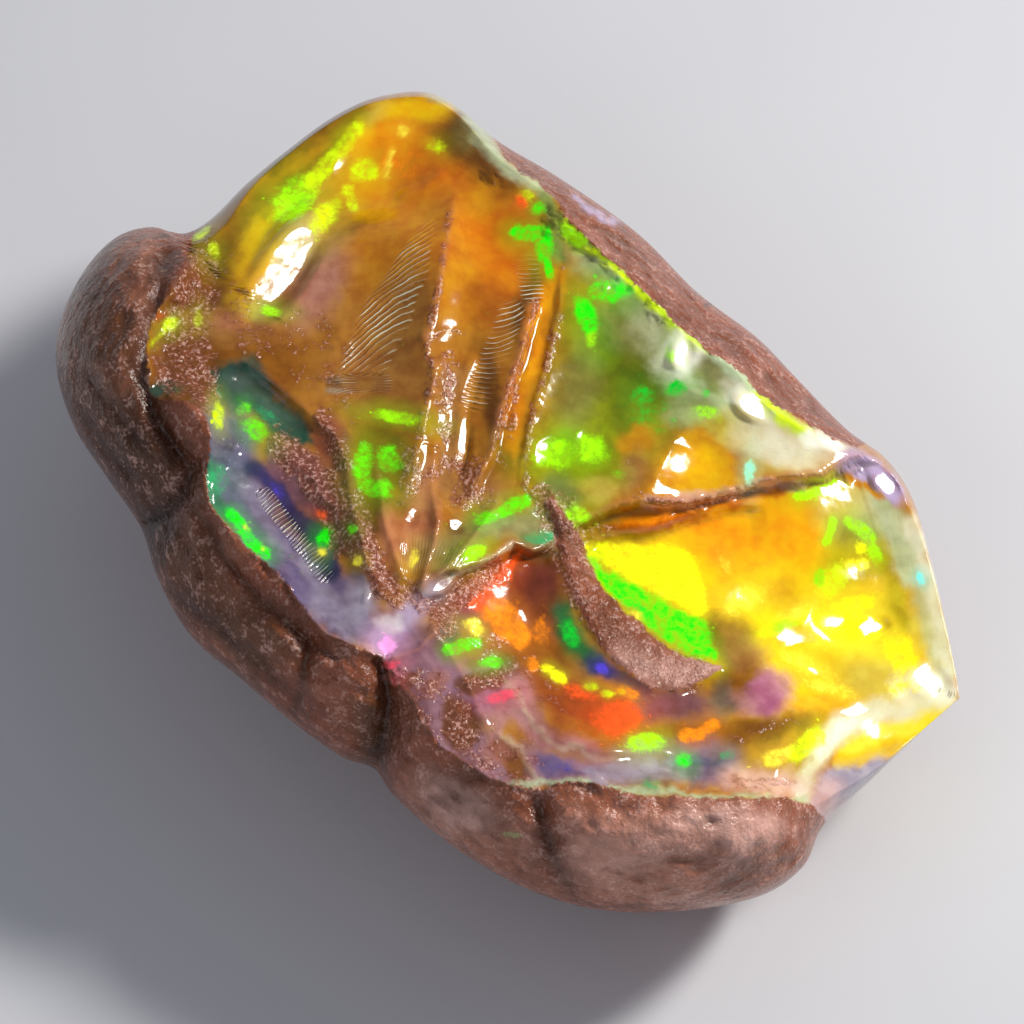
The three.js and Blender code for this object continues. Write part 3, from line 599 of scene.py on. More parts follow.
    spot("lilac", 13.8, -18, 1.8, 0.8), spot("brown_glass", 0.6, -18.2, 0.8, 1.0, 0, 0.8),
    spot("skin_pink", 17.6, -18.8, 2.6, 0.9, -5),
    streak("celadon", [(-0.6, -19.3), (5, -19), (8.6, -19.4), (12, -19.7), (16, -19.9),
     (20.6, -20.2)], 0.22, 0.8, 1.0),
    streak("skin_pink", [(9.8, 0.2), (12.4, 0), (15.4, 0.8), (18.4, 1.5), (20.4, 1.7)], 0.4, 0.7),
]

FLASHES = [
    # green
    *spots("green", (2.4, 18.1, 0.6, 1.0), (7.1, 15, 1.3, 0.75), (5.4, 13.2, 0.7, 1.4, 22),
           (-13.1, -2.2, 0.42, 0.75), (12.1, -17.6, 0.5, 0.5), (2, 20.9, 0.6, 0.5, 0, 0.7)),
    *spots("emerald", (11.6, 8.2, 0.8, 0.6, 0, 0.8), (9.3, 7.5, 0.8, 0.7, 0, 0.7),
           (10, 6.2, 1.6, 1.0, 0, 0.45), (9.4, -7.2, 1.6, 0.5, -38, 0.9), (4.3, -8.8, 0.5, 0.9, 20),
           (13.6, 7.9, 0.5, 0.3, 0, 0.5)),
    *spots("leaf", (-17.6, 5.4, 0.9, 0.6, -40, 0.9), (-18.4, 6.8, 0.5, 0.4, 0, 0.8),
           (-10.2, 2.8, 0.6, 1.5, 0, 0.9), (-9.2, 1.2, 1.1, 0.6, -20, 0.9), (-8.4, 3.2, 0.8, 0.9, 30, 0.8),
           (-1.2, -10.8, 0.7, 0.35), (21.8, -4.9, 0.45, 0.6), (-11, -1.6, 0.4, 0.4, 0, 0.7),
           (7.6, 2.4, 0.5, 0.4, 0, 0.6)),
    *spots("jade", (-20.2, 2, 0.8, 1.0, 0, 0.8), (15.2, -17.2, 0.5, 0.4, 0, 0.8),
           (2.2, -2.3, 0.9, 0.45), (9.8, -19.2, 0.6, 0.3, 0, 0.7), (0.2, -22.8, 0.6, 0.2)),
    spot("lime", -16.7, 13.7, 0.75, 0.32, -5), streak("green", [(0.6, 19), (2.3, 19.2)], 0.5),
    streak("green", [(2.6, 17.4), (2.8, 16.2)], 0.25),
    streak("green", [(-19.3, -0.6), (-18.4, -2), (-17, -3.3)], 0.42),
    patch("green", [(5, -3), (7, -4.4), (9, -5.5), (11.2, -6.9), (13.8, -8.2), (14.4, -10.8),
     (11.8, -9.8), (9.6, -8.2), (7.4, -6.2), (6, -4.4)]),
    streak("leaf", [(-4.1, -10), (-3, -9.6), (-2.2, -9.4)], 0.35),
    streak("leaf", [(-2, -1), (-0.8, -0.5), (0.4, 0.2), (1.2, 0.3)], 0.45),
    # yellow green
    *spots("lime", (-15.1, 21.6, 1.8, 1.2, 48), (3.2, 3.6, 1.5, 1.0, 0, 0.8),
           (-7.8, 6.2, 1.5, 0.4, -10), (4.6, -0.6, 0.9, 0.6, 0, 0.9), (-2.4, -3.3, 0.8, 0.45, 20),
           (9.6, -16.4, 1.2, 0.65), (13.6, 6.4, 1.3, 0.6, 0, 0.5), (11.4, 10.6, 0.35, 0.9, 0, 0.5),
           (5.8, 11.6, 0.5, 0.6, 0, 0.5), (19, -8.4, 1.6, 0.6, 20, 0.6)),
    *spots("citron", (-13, 20.4, 0.8, 1.4, -35, 0.85), (-10.2, 23.6, 0.9, 0.8),
           (-20.1, 6.4, 0.35, 0.8), (-23.6, 12.7, 0.55, 0.45, 0, 0.9), (-21.7, 13.2, 0.35, 0.55, 0, 0.5),
           (-21.6, 19.1, 0.8, 0.35, 40, 0.8), (-20.8, 17.8, 0.5, 0.7, 0, 0.7), (22.6, -5.2, 1.2, 0.8, 40),
           (7.8, -12.9, 0.3, 0.25, 0, 0.8)),
    spot("scarlet", -24.4, 13.3, 0.4, 0.25, 0, 0.4),
    streak("citron", [(-14, 22.6), (-12.6, 24.4), (-10.8, 26.6)], 0.6, 0.85),
    streak("citron", [(-11.4, 22.4), (-10.9, 21)], 0.4, 0.6),
    patch("lime", [(4.9, 5.1), (6.5, 5.3), (6.9, 3.4), (5.1, 3.1)], 0.7),
    streak("lime", [(20.2, 0.8), (22.8, 1.6)], 0.3),
    streak("citron", [(19.6, -17.2), (20.6, -16.4), (21.4, -15.9)], 0.6),
    streak("citron", [(-24.2, 12.2), (-24.9, 11.2)], 0.22, 0.5),
    streak("lime", [(4, 19.5), (5, 18.7)], 0.4),
    streak("citron", [(5.4, 18.3), (8, 16), (10.6, 13.4)], 0.2, 0.5),
    streak("citron", [(18, 7.2), (20.6, 5.5)], 0.2, 0.5), streak("lime", [(22.8, -1), (22.3, -2.4)], 0.3),
    streak("lime", [(23.8, -1), (25, -2), (25.6, -3.6)], 0.45, 0.7),
    # yellow
    *spots("citron", (6.4, -3.3, 1.2, 0.5, -20, 0.9), (5.6, -12.6, 0.5, 0.3, -20),
           (6.7, -13.1, 0.4, 0.25), (-5.2, 25.4, 0.6, 0.5, 0, 0.7), (1.2, 21.8, 0.5, 0.4, 0, 0.8)),
    *spots("sun", (16.4, -6.6, 1.6, 0.9, 30, 0.7), (15, -4, 0.4, 0.8, 30, 0.45),
           (20, -7.4, 1.6, 0.6, 20, 0.5), (20.8, -10.9, 1.8, 0.7, -20, 0.6),
           (22.4, -12.6, 1.8, 0.6, -15, 0.6), (27.6, -12.6, 1.4, 0.6, 0, 0.7), (-2.3, -8.4, 0.75, 0.5, -20),
           (-7.5, 26.4, 0.5, 0.4, 0, 0.7), (-13.1, -3.1, 0.3, 0.3), (18.8, -17.2, 1.3, 0.55, 10),
           (-10.4, -3.9, 0.32, 0.32), (-18.5, -1.6, 0.25, 0.25), (-17.2, -3, 0.25, 0.25),
           (-6.6, -3.8, 0.35, 0.7, -20, 0.6), (8.8, -7.6, 0.5, 0.3, -30, 0.6)),
    *spots("lemon", (24.2, -6.8, 1.8, 0.7, 10, 0.7), (23.6, -8.6, 2.2, 0.9, 0, 0.8),
           (27.4, -10.4, 1.0, 1.6, 30, 0.7), (24.7, -2.9, 0.5, 0.4, 0, 0.8), (24.4, -4, 0.8, 0.4, 0, 0.8)),
    patch("lemon", [(4.8, -2.7), (8.6, -2.6), (11.6, -2.7), (13, -3.8), (13.5, -5.6), (13.8, -8),
     (11.4, -6.7), (8.8, -5.2), (6.6, -3.9)]),
    streak("lemon", [(2.6, -11.3), (3.6, -12)], 0.35),
    streak("sun", [(-8.2, 25), (-8.6, 23.2)], 0.3, 0.7),
    # orange and red
    *spots("orange", (2.3, -8.6, 0.6, 0.9, 0, 0.6), (8.2, -13, 0.9, 0.4, -20, 0.8),
           (1.6, -11.1, 0.4, 0.5, 0, 0.8), (-7.6, 24.2, 1.6, 1.4, 0, 0.3), (10.6, -0.9, 1.8, 0.3, 5, 0.5)),
    *spots("scarlet", (7.6, -14.7, 1.6, 1.1, 0, 0.95), (0.8, 21.4, 0.4, 0.5),
           (-13.2, -0.4, 0.5, 0.3, -30, 0.6), (5, -12.9, 1.4, 0.5, -20, 0.55)),
    *spots("crimson", (-8.2, -12, 0.45, 0.6), (-8.4, -10.8, 0.7, 0.25, 8),
           (-0.6, -13.2, 0.9, 0.4, 10, 0.9)),
    spot("pink", -8.5, -9.5, 0.6, 0.6),
    patch("scarlet", [(0.9, -3.2), (-0.2, -4.2), (-1.4, -5.4), (-2.8, -7), (-1.7, -7.6), (-0.4, -6.3),
     (0.3, -4.9)], 0.9),
    patch("orange", [(-1.6, -6.3), (-0.3, -6.3), (0.9, -7.6), (1.5, -8.8), (0.8, -10.1), (-0.6, -9),
     (-1.9, -7.6)], 0.95),
    streak("orange", [(12.3, -15.9), (13.4, -15.8), (14.2, -15.2)], 0.45, 0.9),
    # blue, violet and aqua
    *spots("violet", (6.4, -11.3, 0.5, 0.35, -30), (-16.2, 1.2, 0.4, 0.9, 40, 0.4),
           (3.6, -18, 0.9, 0.4, 0, 0.35)),
    spot("aqua", 28.7, -5.1, 0.26, 0.35), spot("mint", 16.9, 2.3, 0.35, 0.9, 0, 0.9),
    spot("jade", -16.6, 6.2, 0.9, 0.4, -40, 0.5),
]

RIND_BASE = "rust"
RIND = [
    spot("bark", -28.6, 9, 4.4, 8),
    *spots("umber", (-30, 8, 2.2, 5, 0, 0.6), (-26, 10, 1.6, 4, 0, 0.4), (-29.6, 15.4, 1.6, 1.2, 0, 0.8)),
    spot("clay", -26, 15, 1.4, 3.0, 20, 0.5), spot("bark", -26.4, 17.4, 2.2, 1.4, 0, 0.6),
    spot("clay", -26, 18.4, 2.2, 0.8, 0, 0.8), spot("umber", -26, 3, 3, 4.4, 30),
    spot("bark", -22.5, -4.4, 3, 3.4), spot("umber", -24.6, -1.4, 1.8, 2.6),
    spot("soot", -24.4, -2, 1.2, 1.8, 0, 0.5),
    *spots("bark", (-21.8, 1, 0.9, 2), (-18, -9, 4.6, 2.4, -42)),
    spot("umber", -21, -7.4, 2.6, 0.9, -42, 0.7), spot("rust", -13, -13.4, 3.4, 2, -40),
    spot("bark", -9.6, -15.6, 1.4, 3), *spots("clay", (-3.4, -22.4, 4.4, 2.4, -20), (10, -22.6, 7, 2.6)),
    # Painted sheen: the skin_pink spots on the bottom lobes.
    spot("skin_pink", 14.8, -22.2, 3.8, 1.5, -5, 0.95), spot("clay", 8, -24.8, 8, 2.6),
    *spots("skin_pink", (8.4, -23.6, 5, 2.0, 0, 0.5, 0.9), (16.4, -24.4, 2, 1.6, 0, 0.5, 0.9)),
    spot("rust", 2.8, -23, 1.0, 3), spot("clay", 13, -26, 6, 1.6, 0, 0.8),
    spot("bark", 8, 18.4, 2.4, 0.5, -42, 0.6),
    streak("rust", [(13, 13.6), (17, 11), (20, 8.2), (22.4, 6.2)], 1.4),
    streak("pearl", [(5.2, 21.8), (7.4, 20.4)], 0.3, 0.9), spot("maroon", -16.4, 24.4, 1.0, 0.5, 35),
    *spots("soot", (13.9, 14.4, 0.3, 0.14), (-24.3, 18.8, 0.6, 0.18, -10)),
    # Painted sheen on the bottom lobe.
    spot("skin_pink", -3.6, -20.8, 2.8, 1.5, -30, 0.8),
    streak("skin_pink", [(8, -10.2), (11, -11.4), (14, -11.3)], 1.1, 0.5, 0.9),
    spot("clay", -20, -9.8, 1.4, 0.6, -40, 0.5),
]

# Where the surface is broken into grit instead of glass, as path, half width and amount.
GRIT = [
    ([(-4.2, 10.6), (-4.3, 7), (-4.6, 4)], 0.55, 0.75),
    ([(-4.2, 20.5), (-4.9, 15.5), (-5.8, 11.6), (-5.3, 9), (-6.3, 4.4), (-7.6, 0.4)], 0.3, 0.8),
    ([(-5.6, 11.8), (-3.8, 12.2), (-2.8, 12)], 0.35, 0.6), ([(-5.4, 8.6), (-4.9, 7.4)], 0.5, 0.7),
    ([(1.9, 14.2), (0.8, 10.4), (-0.1, 7.6), (-0.9, 4.2), (-0.4, 2.8)], 0.36, 0.9),
    ([(3.4, 13.2), (2.6, 9.8), (1.8, 7.2), (1.2, 4.4), (1.2, 1.4), (2.6, 0)], 0.34, 0.85),
    ([(3.6, 20), (3.7, 16.8)], 0.3, 0.4),
    ([(3.4, -0.6), (4.6, -4.6), (6.4, -8), (9, -10.8), (12.6, -11.4)], 1.3, 1.3),
    ([(-2.6, 2.6), (-3.6, 0.8), (-2, 0.6), (-1, 0.4)], 0.8, 0.9),
    ([(-7, 3.6), (-6.6, 1.4), (-5, 2.4), (-4, 3.4)], 0.7, 0.8),
    ([(2, 1), (3, -0.8), (4, -2.4)], 0.7, 1.2), ([(-13.2, 6.4), (-12.2, 4.6), (-11.6, 3.2)], 0.8, 1.3),
    ([(-15.8, 3.9), (-14.2, 2.4), (-12.8, 0.6), (-11.6, -2)], 1.5, 1.5),
    ([(-10.8, 0.6), (-10, -3), (-8.6, -5.6), (-7.6, -6.4)], 0.8, 1.3),
    ([(-6.8, -6), (-5, -7.4), (-4.6, -8.4)], 0.9, 1.1),
    ([(-4.8, -7.4), (-3.4, -6.2), (-1.2, -4.6)], 0.9, 1.3),
    ([(-22.6, 10), (-20.8, 9), (-21.2, 7)], 1.0, 0.9), ([(-23.4, 17.4), (-23.8, 14.4)], 0.8, 0.4),
    ([(9.6, 0.4), (12.6, 0), (15.4, 0.7), (17, 1.1)], 0.26, 1.2), ([(20, 1.5), (20.8, 1.6)], 0.3, 0.8),
    ([(5.4, -1.9), (7.4, -1.4)], 0.5, 0.7), ([(8.2, 3.4), (8.6, 1.6), (9.1, 0.8)], 0.5, 0.5),
    ([(-3, -11.6), (-0.8, -12)], 0.6, 0.6), ([(-7, -13), (-6.4, -15.4), (-7, -17.6)], 1.0, 0.8),
    ([(16.4, -16.4), (15.4, -15.8), (20, -14.8)], 0.4, 0.4), ([(16, -19), (19.6, -19.2)], 0.6, 0.7),
    ([(2, 21.6), (2.8, 20.4)], 0.5, 0.3), ([(-7.6, -12), (-6.4, -14.8), (-5.8, -17)], 1.4, 0.8),
    ([(-3.2, -14), (-3.2, -16)], 1.0, 1.3), ([(-2.6, -12), (-1, -11.8)], 0.8, 1.3),
    ([(-5.4, -13), (0.4, -18.4)], 2.2, 0.62), ([(1.4, 12.4), (0.6, 8.6), (0.1, 5)], 0.35, 0.7),
    ([(-2, -9.6), (3.4, -13.6)], 1.8, 0.45), ([(-22.8, 18.6), (-22.4, 14), (-22.6, 9)], 2.0, 0.9),
    ([(-20, 15.6), (-17.8, 11.8)], 1.6, 0.5), ([(-14, 12), (-12, 6)], 2.4, 0.42),
]

PAINTED_GLOWS = [  # painted glow, where the glass gives off light of its own: middle, half sizes, amount
    ((18, -6), (9, 6), 0.30), ((-8, 24), (5, 4), 0.14), ((24, -9), (6, 5), 0.22),
    ((-16.5, 18), (2, 5), 0.12), ((2, -8), (5, 5), 0.06), ((12.5, 3), (4, 2), 0.10),
    ((19, 4.5), (4, 2), 0.10), ((29, -12), (2, 2), 0.3),
]

PATCH_EDGE = 0.7  # width of a patch's soft edge
RIND_SPARKS_BELOW = -22  # v under which flashes show in the rind too

# Reach at which a flash starts to fade and is gone, the same for its sparks, and how its tint gives way.
FLASH_EDGE, SPARK_EDGE = (0.3, 1.7), (0.8, 4)
TINT_START, TINT_FALL, LEAST_TINT = 0.3, 6, 1e-12


def reach_of(u, v, coat):
    """How far each point is from a coat of paint: 1 at its edge."""
    _, path, size, _, _ = coat
    if not size:
        return np.maximum(1 - inside_loop(path, u, v) / PATCH_EDGE, 0)
    if len(path) == 1:
        return reach_from(u, v, path[0], size[:2], size[2])
    return from_path(path, u, v)[0] / size[0]


def painted(u, v, coats, base):
    """Base colour with coats laid over it in turn."""
    result = np.tile(colour(base), (len(u), 1))
    for coat in coats:
        paint, _, _, amount, soft = coat
        cover = amount * (1 - smoothstep(reach_of(u, v, coat), 1 - soft, 1 + soft))[:, None]
        result = result * (1 - cover) + colour(paint) * cover
    return result


def fire(u, v):
    """Strength of the flashes, the tint of the nearest one, and how near any of them is."""
    strength, near = np.zeros(len(u)), np.zeros(len(u))
    tint, total = np.zeros((len(u), 3)), np.full(len(u), LEAST_TINT)
    for flash in FLASHES:
        paint, _, _, amount, _ = flash
        reach = reach_of(u, v, flash)
        strength = np.maximum(strength, amount * (1 - smoothstep(reach, *FLASH_EDGE)))
        near = np.maximum(near, amount * (1 - smoothstep(reach, *SPARK_EDGE)))
        weight = amount / (TINT_START + reach) ** TINT_FALL
        tint += colour(paint) * weight[:, None]
        total += weight
    return strength, tint / total[:, None], near


# ---------------------------------------------------------------- the mesh

def split_icosahedron():
    """Directions and triangles of an icosahedron whose faces are split into small triangles."""
    shape = bmesh.new()
    bmesh.ops.create_icosphere(shape, subdivisions=1, radius=1)
    corners = np.array([v.co[:] for v in shape.verts])
    faces = [[v.index for v in f.verts] for f in shape.faces]
    shape.free()
    numbers = {}
    directions = []
    triangles = []

    def number(face, i, j):
        weights = {face[0]: SPLITS - i - j, face[1]: i, face[2]: j}
        key = tuple(sorted((k, n) for k, n in weights.items() if n))
        if key not in numbers:
            numbers[key] = len(directions)
            directions.append(sum(corners[k] * n for k, n in key))
        return numbers[key]

    for face in faces:
        rows = [[number(face, i, j) for j in range(SPLITS + 1 - i)] for i in range(SPLITS + 1)]
        for here, above in zip(rows, rows[1:]):
            for j in range(len(above)):
                triangles.append((here[j], above[j], here[j + 1]))
                if j + 1 < len(above):
                    triangles.append((above[j], above[j + 1], here[j + 1]))
    directions = np.array(directions)
    return directions / np.linalg.norm(directions, axis=1)[:, None], np.array(triangles)


def grit_cover(u, v, wander):
    """How much of each place is grit instead of glass."""
    grit = np.zeros(len(u))
    for path, half_width, amount in GRIT:
        reach = from_path(path, u, v)[0] / half_width + GRIT_WANDER * wander
        grit = np.maximum(grit, amount * (1 - smoothstep(reach, 0.4, 1.5)))
    return grit


def fold_shadow(u, v):
    shadow = np.zeros(len(u))
    for path, depth, reach in FOLDS:
        shadow = np.maximum(shadow, fade(from_path(path, u, v)[0], reach) * min(depth, 1))
    return shadow


def stone_surface(direction):
    """Chart positions for directions from the middle of the stone, with what each needs for its finish."""
    polar = np.arccos(np.clip(direction[:, 2], -1, 1))
    polar = polar - FRONT_CROWDING * np.sin(polar)
    facing = np.cos(polar)
    front = polar < math.pi / 2
    angle = np.arctan2(direction[:, 1], direction[:, 0])
    rim = np.sin(polar)
    radius = outline_radius(angle) * rim
    u, v = radius * np.cos(angle), radius * np.sin(angle)
    flat = np.stack([u, v, np.zeros(len(u))], axis=1)
    turned = np.array(Matrix.Rotation(0.9, 3, (1, 2, 3)))  # keeps the lumps off the stone's own axes
    ball = np.stack([u, v, facing * BALL_DEPTH], axis=1) @ turned
    wander = [WANDER * grain(flat, WANDER_SIZE, lot, 5, WANDER_FINENESS) for lot in WANDER_LOTS]

    lumps = sum(relief_of(ball, form) for form in LUMPS)
    pits = np.maximum(grain(ball, PIT_SIZE, PIT_LOT, 1) - PIT_START, 0) * PIT_DEPTH
    relief = (lumps - pits) * smoothstep(np.abs(facing), 0, RIM_FADE)

    inside = inside_break(u, v) + EDGE_WANDER * wander[0]
    off_tongue = TONGUE_WANDER * wander[1] - inside_loop(TONGUE, u, v)
    at_rim = inside_break(outline_radius(angle) * np.cos(angle), outline_radius(angle) * np.sin(angle))
    wrapped = at_rim + WRAP_WANDER * wander[0] + WRAP_SLOPE * BACK_DEPTH * np.minimum(facing, 0)
    glass = np.where(front, np.minimum(inside, off_tongue), wrapped)
    broken = front & (inside > 0)
    grit = grit_cover(u, v, wander[1])
    stony = np.maximum(np.minimum(grit, 1), 1 - smoothstep(off_tongue, -0.2, 0.3))

    skin = skin_height(u, v, rim)
    warped_u, warped_v = u + BREAK_WANDER * wander[0], v + BREAK_WANDER * wander[1]
    height = break_height(warped_u, warped_v)
    turns = np.arange(AROUND_COUNT) * math.tau / AROUND_COUNT
    ring = [(AROUND * math.cos(turn), AROUND * math.sin(turn)) for turn in turns]
    around = sum(break_height(warped_u + du, warped_v + dv) for du, dv in ring) / AROUND_COUNT
    cut = np.clip(skin - height, BEVEL[0] * inside, BEVEL[1] * inside)
    glassy = relief_of(flat, GLASS_WAVE) * (1 - stony)
    finer = glassy + (relief_of(flat, STONY_GRAIN) + relief_of(flat, STONY_WAVE, 1)) * stony
    swell = np.cos(3 * direction[:, 0] + 1) * np.cos(2.6 * direction[:, 1] - 0.6)
    back = -bulge(BACK_DEPTH, rim) * (1 + BACK_WAVE * swell) - relief
    w = np.where(broken, skin - cut + finer, np.where(front, skin + relief, back))
    # Painted shade in hollows and painted light on crests: from height against its surroundings on the
    # glass, from the lumps on the rind.
    shade = np.clip(np.where(glass > 0, (height - around) * GLASS_SHADE, relief * RIND_SHADE), -1, 1)
    return {
        "u": u, "v": v, "position": np.stack([u, v, w + LEAN * v], axis=1), "polar": polar, "angle": angle,
        "glass": glass, "grit": grit * broken, "wander": wander, "shade": shade,
        "fold": fold_shadow(u, v) * smoothstep(facing, 0, RIM_FADE),
    }


def band(value, low, high, soft):
    return smoothstep(value, low - soft, low + soft) * smoothstep(value, high + soft, high - soft)


def near_line(u, v, path, half_width):
    return 1 - smoothstep(from_path(path, u, v)[0], 0.6 * half_width, 1.3 * half_width)


# The feather of ripples in the great shell: its quill as v and u, its width and its strength along v.
QUILL_V = (8.9, 11.3, 13.2, 14.6, 15.9, 18, 20.1)
QUILL_U = (-12.2, -11.3, -10.5, -9.9, -8.8, -7.6, -5.9)
FEATHER_WIDTH = (9, 13, 16, 20), (3.4, 3.8, 3, 1.2)
FEATHER_STRENGTH = (9, 13, 16.5, 20), (0.6, 1, 1, 0.5)
RUNG_TURN = math.radians(-52)


def hackle_field(u, v):
    """Fine parallel lines on the break: their count across the lines, and their strength."""
    quill = u - np.interp(v, QUILL_V, QUILL_U)
    feather = band(quill, 0, np.interp(v, *FEATHER_WIDTH), 0.35) * band(v, 9.2, 20.4, 0.5)
    from_bowl = np.hypot(u + 7, v + 8.4)
    bowl = band(from_bowl, 3, 7, 1.5) * band(u, -8, -2.6, 0.6) * (v > -7)
    rungs = u * math.cos(RUNG_TURN) + v * math.sin(RUNG_TURN) + 0.05 * np.sin(3 * u)
    fields = [  # count, strength
        ((v - 1.6 * quill + 0.17 * quill**2) / 0.66, feather * np.interp(v, *FEATHER_STRENGTH)),
        (np.arctan2(v - 8.5, u + 15) * 34,
         0.9 * band(u, -12.9, -8.2, 0.5) * band(v - 0.03 * u, 8.2, 9.5, 0.3)),
        ((v - 0.12 * u - 0.12 * (u + 1) ** 2) / 0.36,
         0.7 * near_line(u, v, [(0.2, 13.6), (-1, 10.6), (-2.4, 7.4)], 1.0)),
        ((v - 0.05 * u) / 0.3, 0.8 * near_line(u, v, [(1.2, 16.8), (1.6, 15)], 0.9)),
        (rungs / 0.27, near_line(u, v, [(-17, 0.7), (-15.2, -1.6), (-12.8, -4.8)], 0.62)),
        (np.arctan2(v + 8.4, u + 7) * 26, 0.4 * bowl),
        ((u * 0.94 - v * 0.34) / 0.4, 0.5 * mound(u, v, (22.4, -15.8), (2.2, 0.9), 35)),
        ((u * 0.9 + v * 0.44) / 0.8, 0.35 * mound(u, v, (19.5, 4), (3.6, 1.6), -15)),
    ]
    count = np.zeros(u.shape)
    strength = np.zeros(u.shape)
    for lines, amount in fields:
        count = np.where(amount > strength, lines, count)
        strength = np.maximum(strength, amount)
    return count, strength


def chart_to_world(points):
    """Stands the chart up: w rises from the ground at the break's elevation."""
    up, out = math.cos(BREAK_ELEVATION), math.sin(BREAK_ELEVATION)
    u, v, w = points.T
    return np.stack([u, v * out - w * up, v * up + w * out], axis=1)


def lay_map(mesh, stone, faces, facing_front):
    """The stone's own map: the front as one large disc and the back as a small one."""
    layer = mesh.uv_layers.new(name="OFBake")
    on_front = facing_front[:, None]
    polar = np.where(on_front, stone["polar"][faces], math.pi - stone["polar"][faces])
    angle = np.where(on_front, stone["angle"][faces], -stone["angle"][faces])
    big, small, margin = 0.335, 0.13, 0.97
    radius = polar / (math.pi / 2) * np.where(on_front, big, small) * margin
    middle_x = np.where(on_front, big, 1 - small)
    stretch = np.where(on_front, 0.5 / big, 0.5 / small)
    uv = np.stack([middle_x + radius * np.cos(angle), 0.5 + radius * np.sin(angle) * stretch], axis=2)
    layer.data.foreach_set("uv", uv.astype(np.float32).ravel())


def rest_in_frame(position):
    """World places of the chart's points, centred on the CAD box on a flat base, and the shift made."""
    world = chart_to_world(position)
    ground = world[:, 2].min() + BASE_CUT
    world[:, 2] = np.maximum(world[:, 2], ground)
    low, high = world.min(axis=0), world.max(axis=0)
    cad_low, cad_high = np.array(cad_box[0]) / MM, np.array(cad_box[1]) / MM
    shift = (cad_low + cad_high - low - high) / 2
    shift[2] = cad_low[2] - ground
    return world + shift, shift


def point_values(stone):
    """What the finishes read at each point of the mesh."""
    u, v, glass = stone["u"], stone["v"], stone["glass"]
    wander_u, wander_v = stone["wander"]
    drift_u, drift_v = u + BODY_WANDER * wander_u, v + BODY_WANDER * wander_v
    flash, tint, near = fire(u + FLASH_WANDER * wander_u, v + FLASH_WANDER * wander_v)
    drawn = smoothstep(np.cos(stone["polar"]), -0.5, 0.05)  # the listed colours fade out round the back
    below_glass = v < RIND_SPARKS_BELOW
    shown = drawn * (smoothstep(glass, -0.6, 0.1) + below_glass)
    rind_tone = painted(drift_u, drift_v, RIND, RIND_BASE)
    # Painted glow inside the glass.
    ember = np.max([amount * mound(u, v, middle, size) for middle, size, amount in PAINTED_GLOWS], axis=0)
    count, lines = hackle_field(u, v)
    return {
        "body": painted(drift_u, drift_v, BODY, BODY_BASE),
        "rind_tone": colour(RIND_BASE) * (1 - drawn[:, None]) + rind_tone * drawn[:, None],
        "fire_tint": tint,
        "fire": np.column_stack([flash * shown, near * shown, ember]),
        "make": np.column_stack([np.clip(glass, -3, 3), stone["grit"], stone["shade"]]),
        "marks": np.column_stack([count, lines * (glass > 0), stone["fold"]]),
    }


def make_stone():
    directions, faces = split_icosahedron()
    stone = stone_surface(directions)
    world, shift = rest_in_frame(stone["position"])
    mesh = bpy.data.meshes.new(NODE + "_stone")
    mesh.from_pydata((world * MM).tolist(), [], faces.tolist())
    for name, values in point_values(stone).items():
        layer = mesh.attributes.new(name, "FLOAT_VECTOR", "POINT")
        layer.data.foreach_set("vector", values.astype(np.float32).ravel())

    facing_front = stone["polar"][faces].mean(axis=1) < math.pi / 2
    lay_map(mesh, stone, faces, facing_front)
    is_rind = stone["glass"][faces].mean(axis=1) < 0
    mesh.polygons.foreach_set("material_index", is_rind.astype(np.int32))
    mesh.polygons.foreach_set("use_smooth", np.ones(len(faces), bool))
    piece = bpy.data.objects.new(NODE + "_stone", mesh)
    bpy.context.scene.collection.objects.link(piece)
    return piece, shift


# ---------------------------------------------------------------- finishes

class Wire:
    """A socket of the finish being made. Arithmetic on it adds Math nodes."""

    def __init__(self, finish, socket):
        self.finish = finish
        self.socket = socket

    def math(self, operation, *others):
        return self.finish.calculate(operation, self, *others)

    def __add__(self, other):
        return self.math("ADD", other)

    def __mul__(self, other):
        return self.math("MULTIPLY", other)

    def __sub__(self, other):
        return self.math("SUBTRACT", other)

    def __rsub__(self, other):
        return self.finish.calculate("SUBTRACT", other, self)

    __radd__ = __add__
    __rmul__ = __mul__


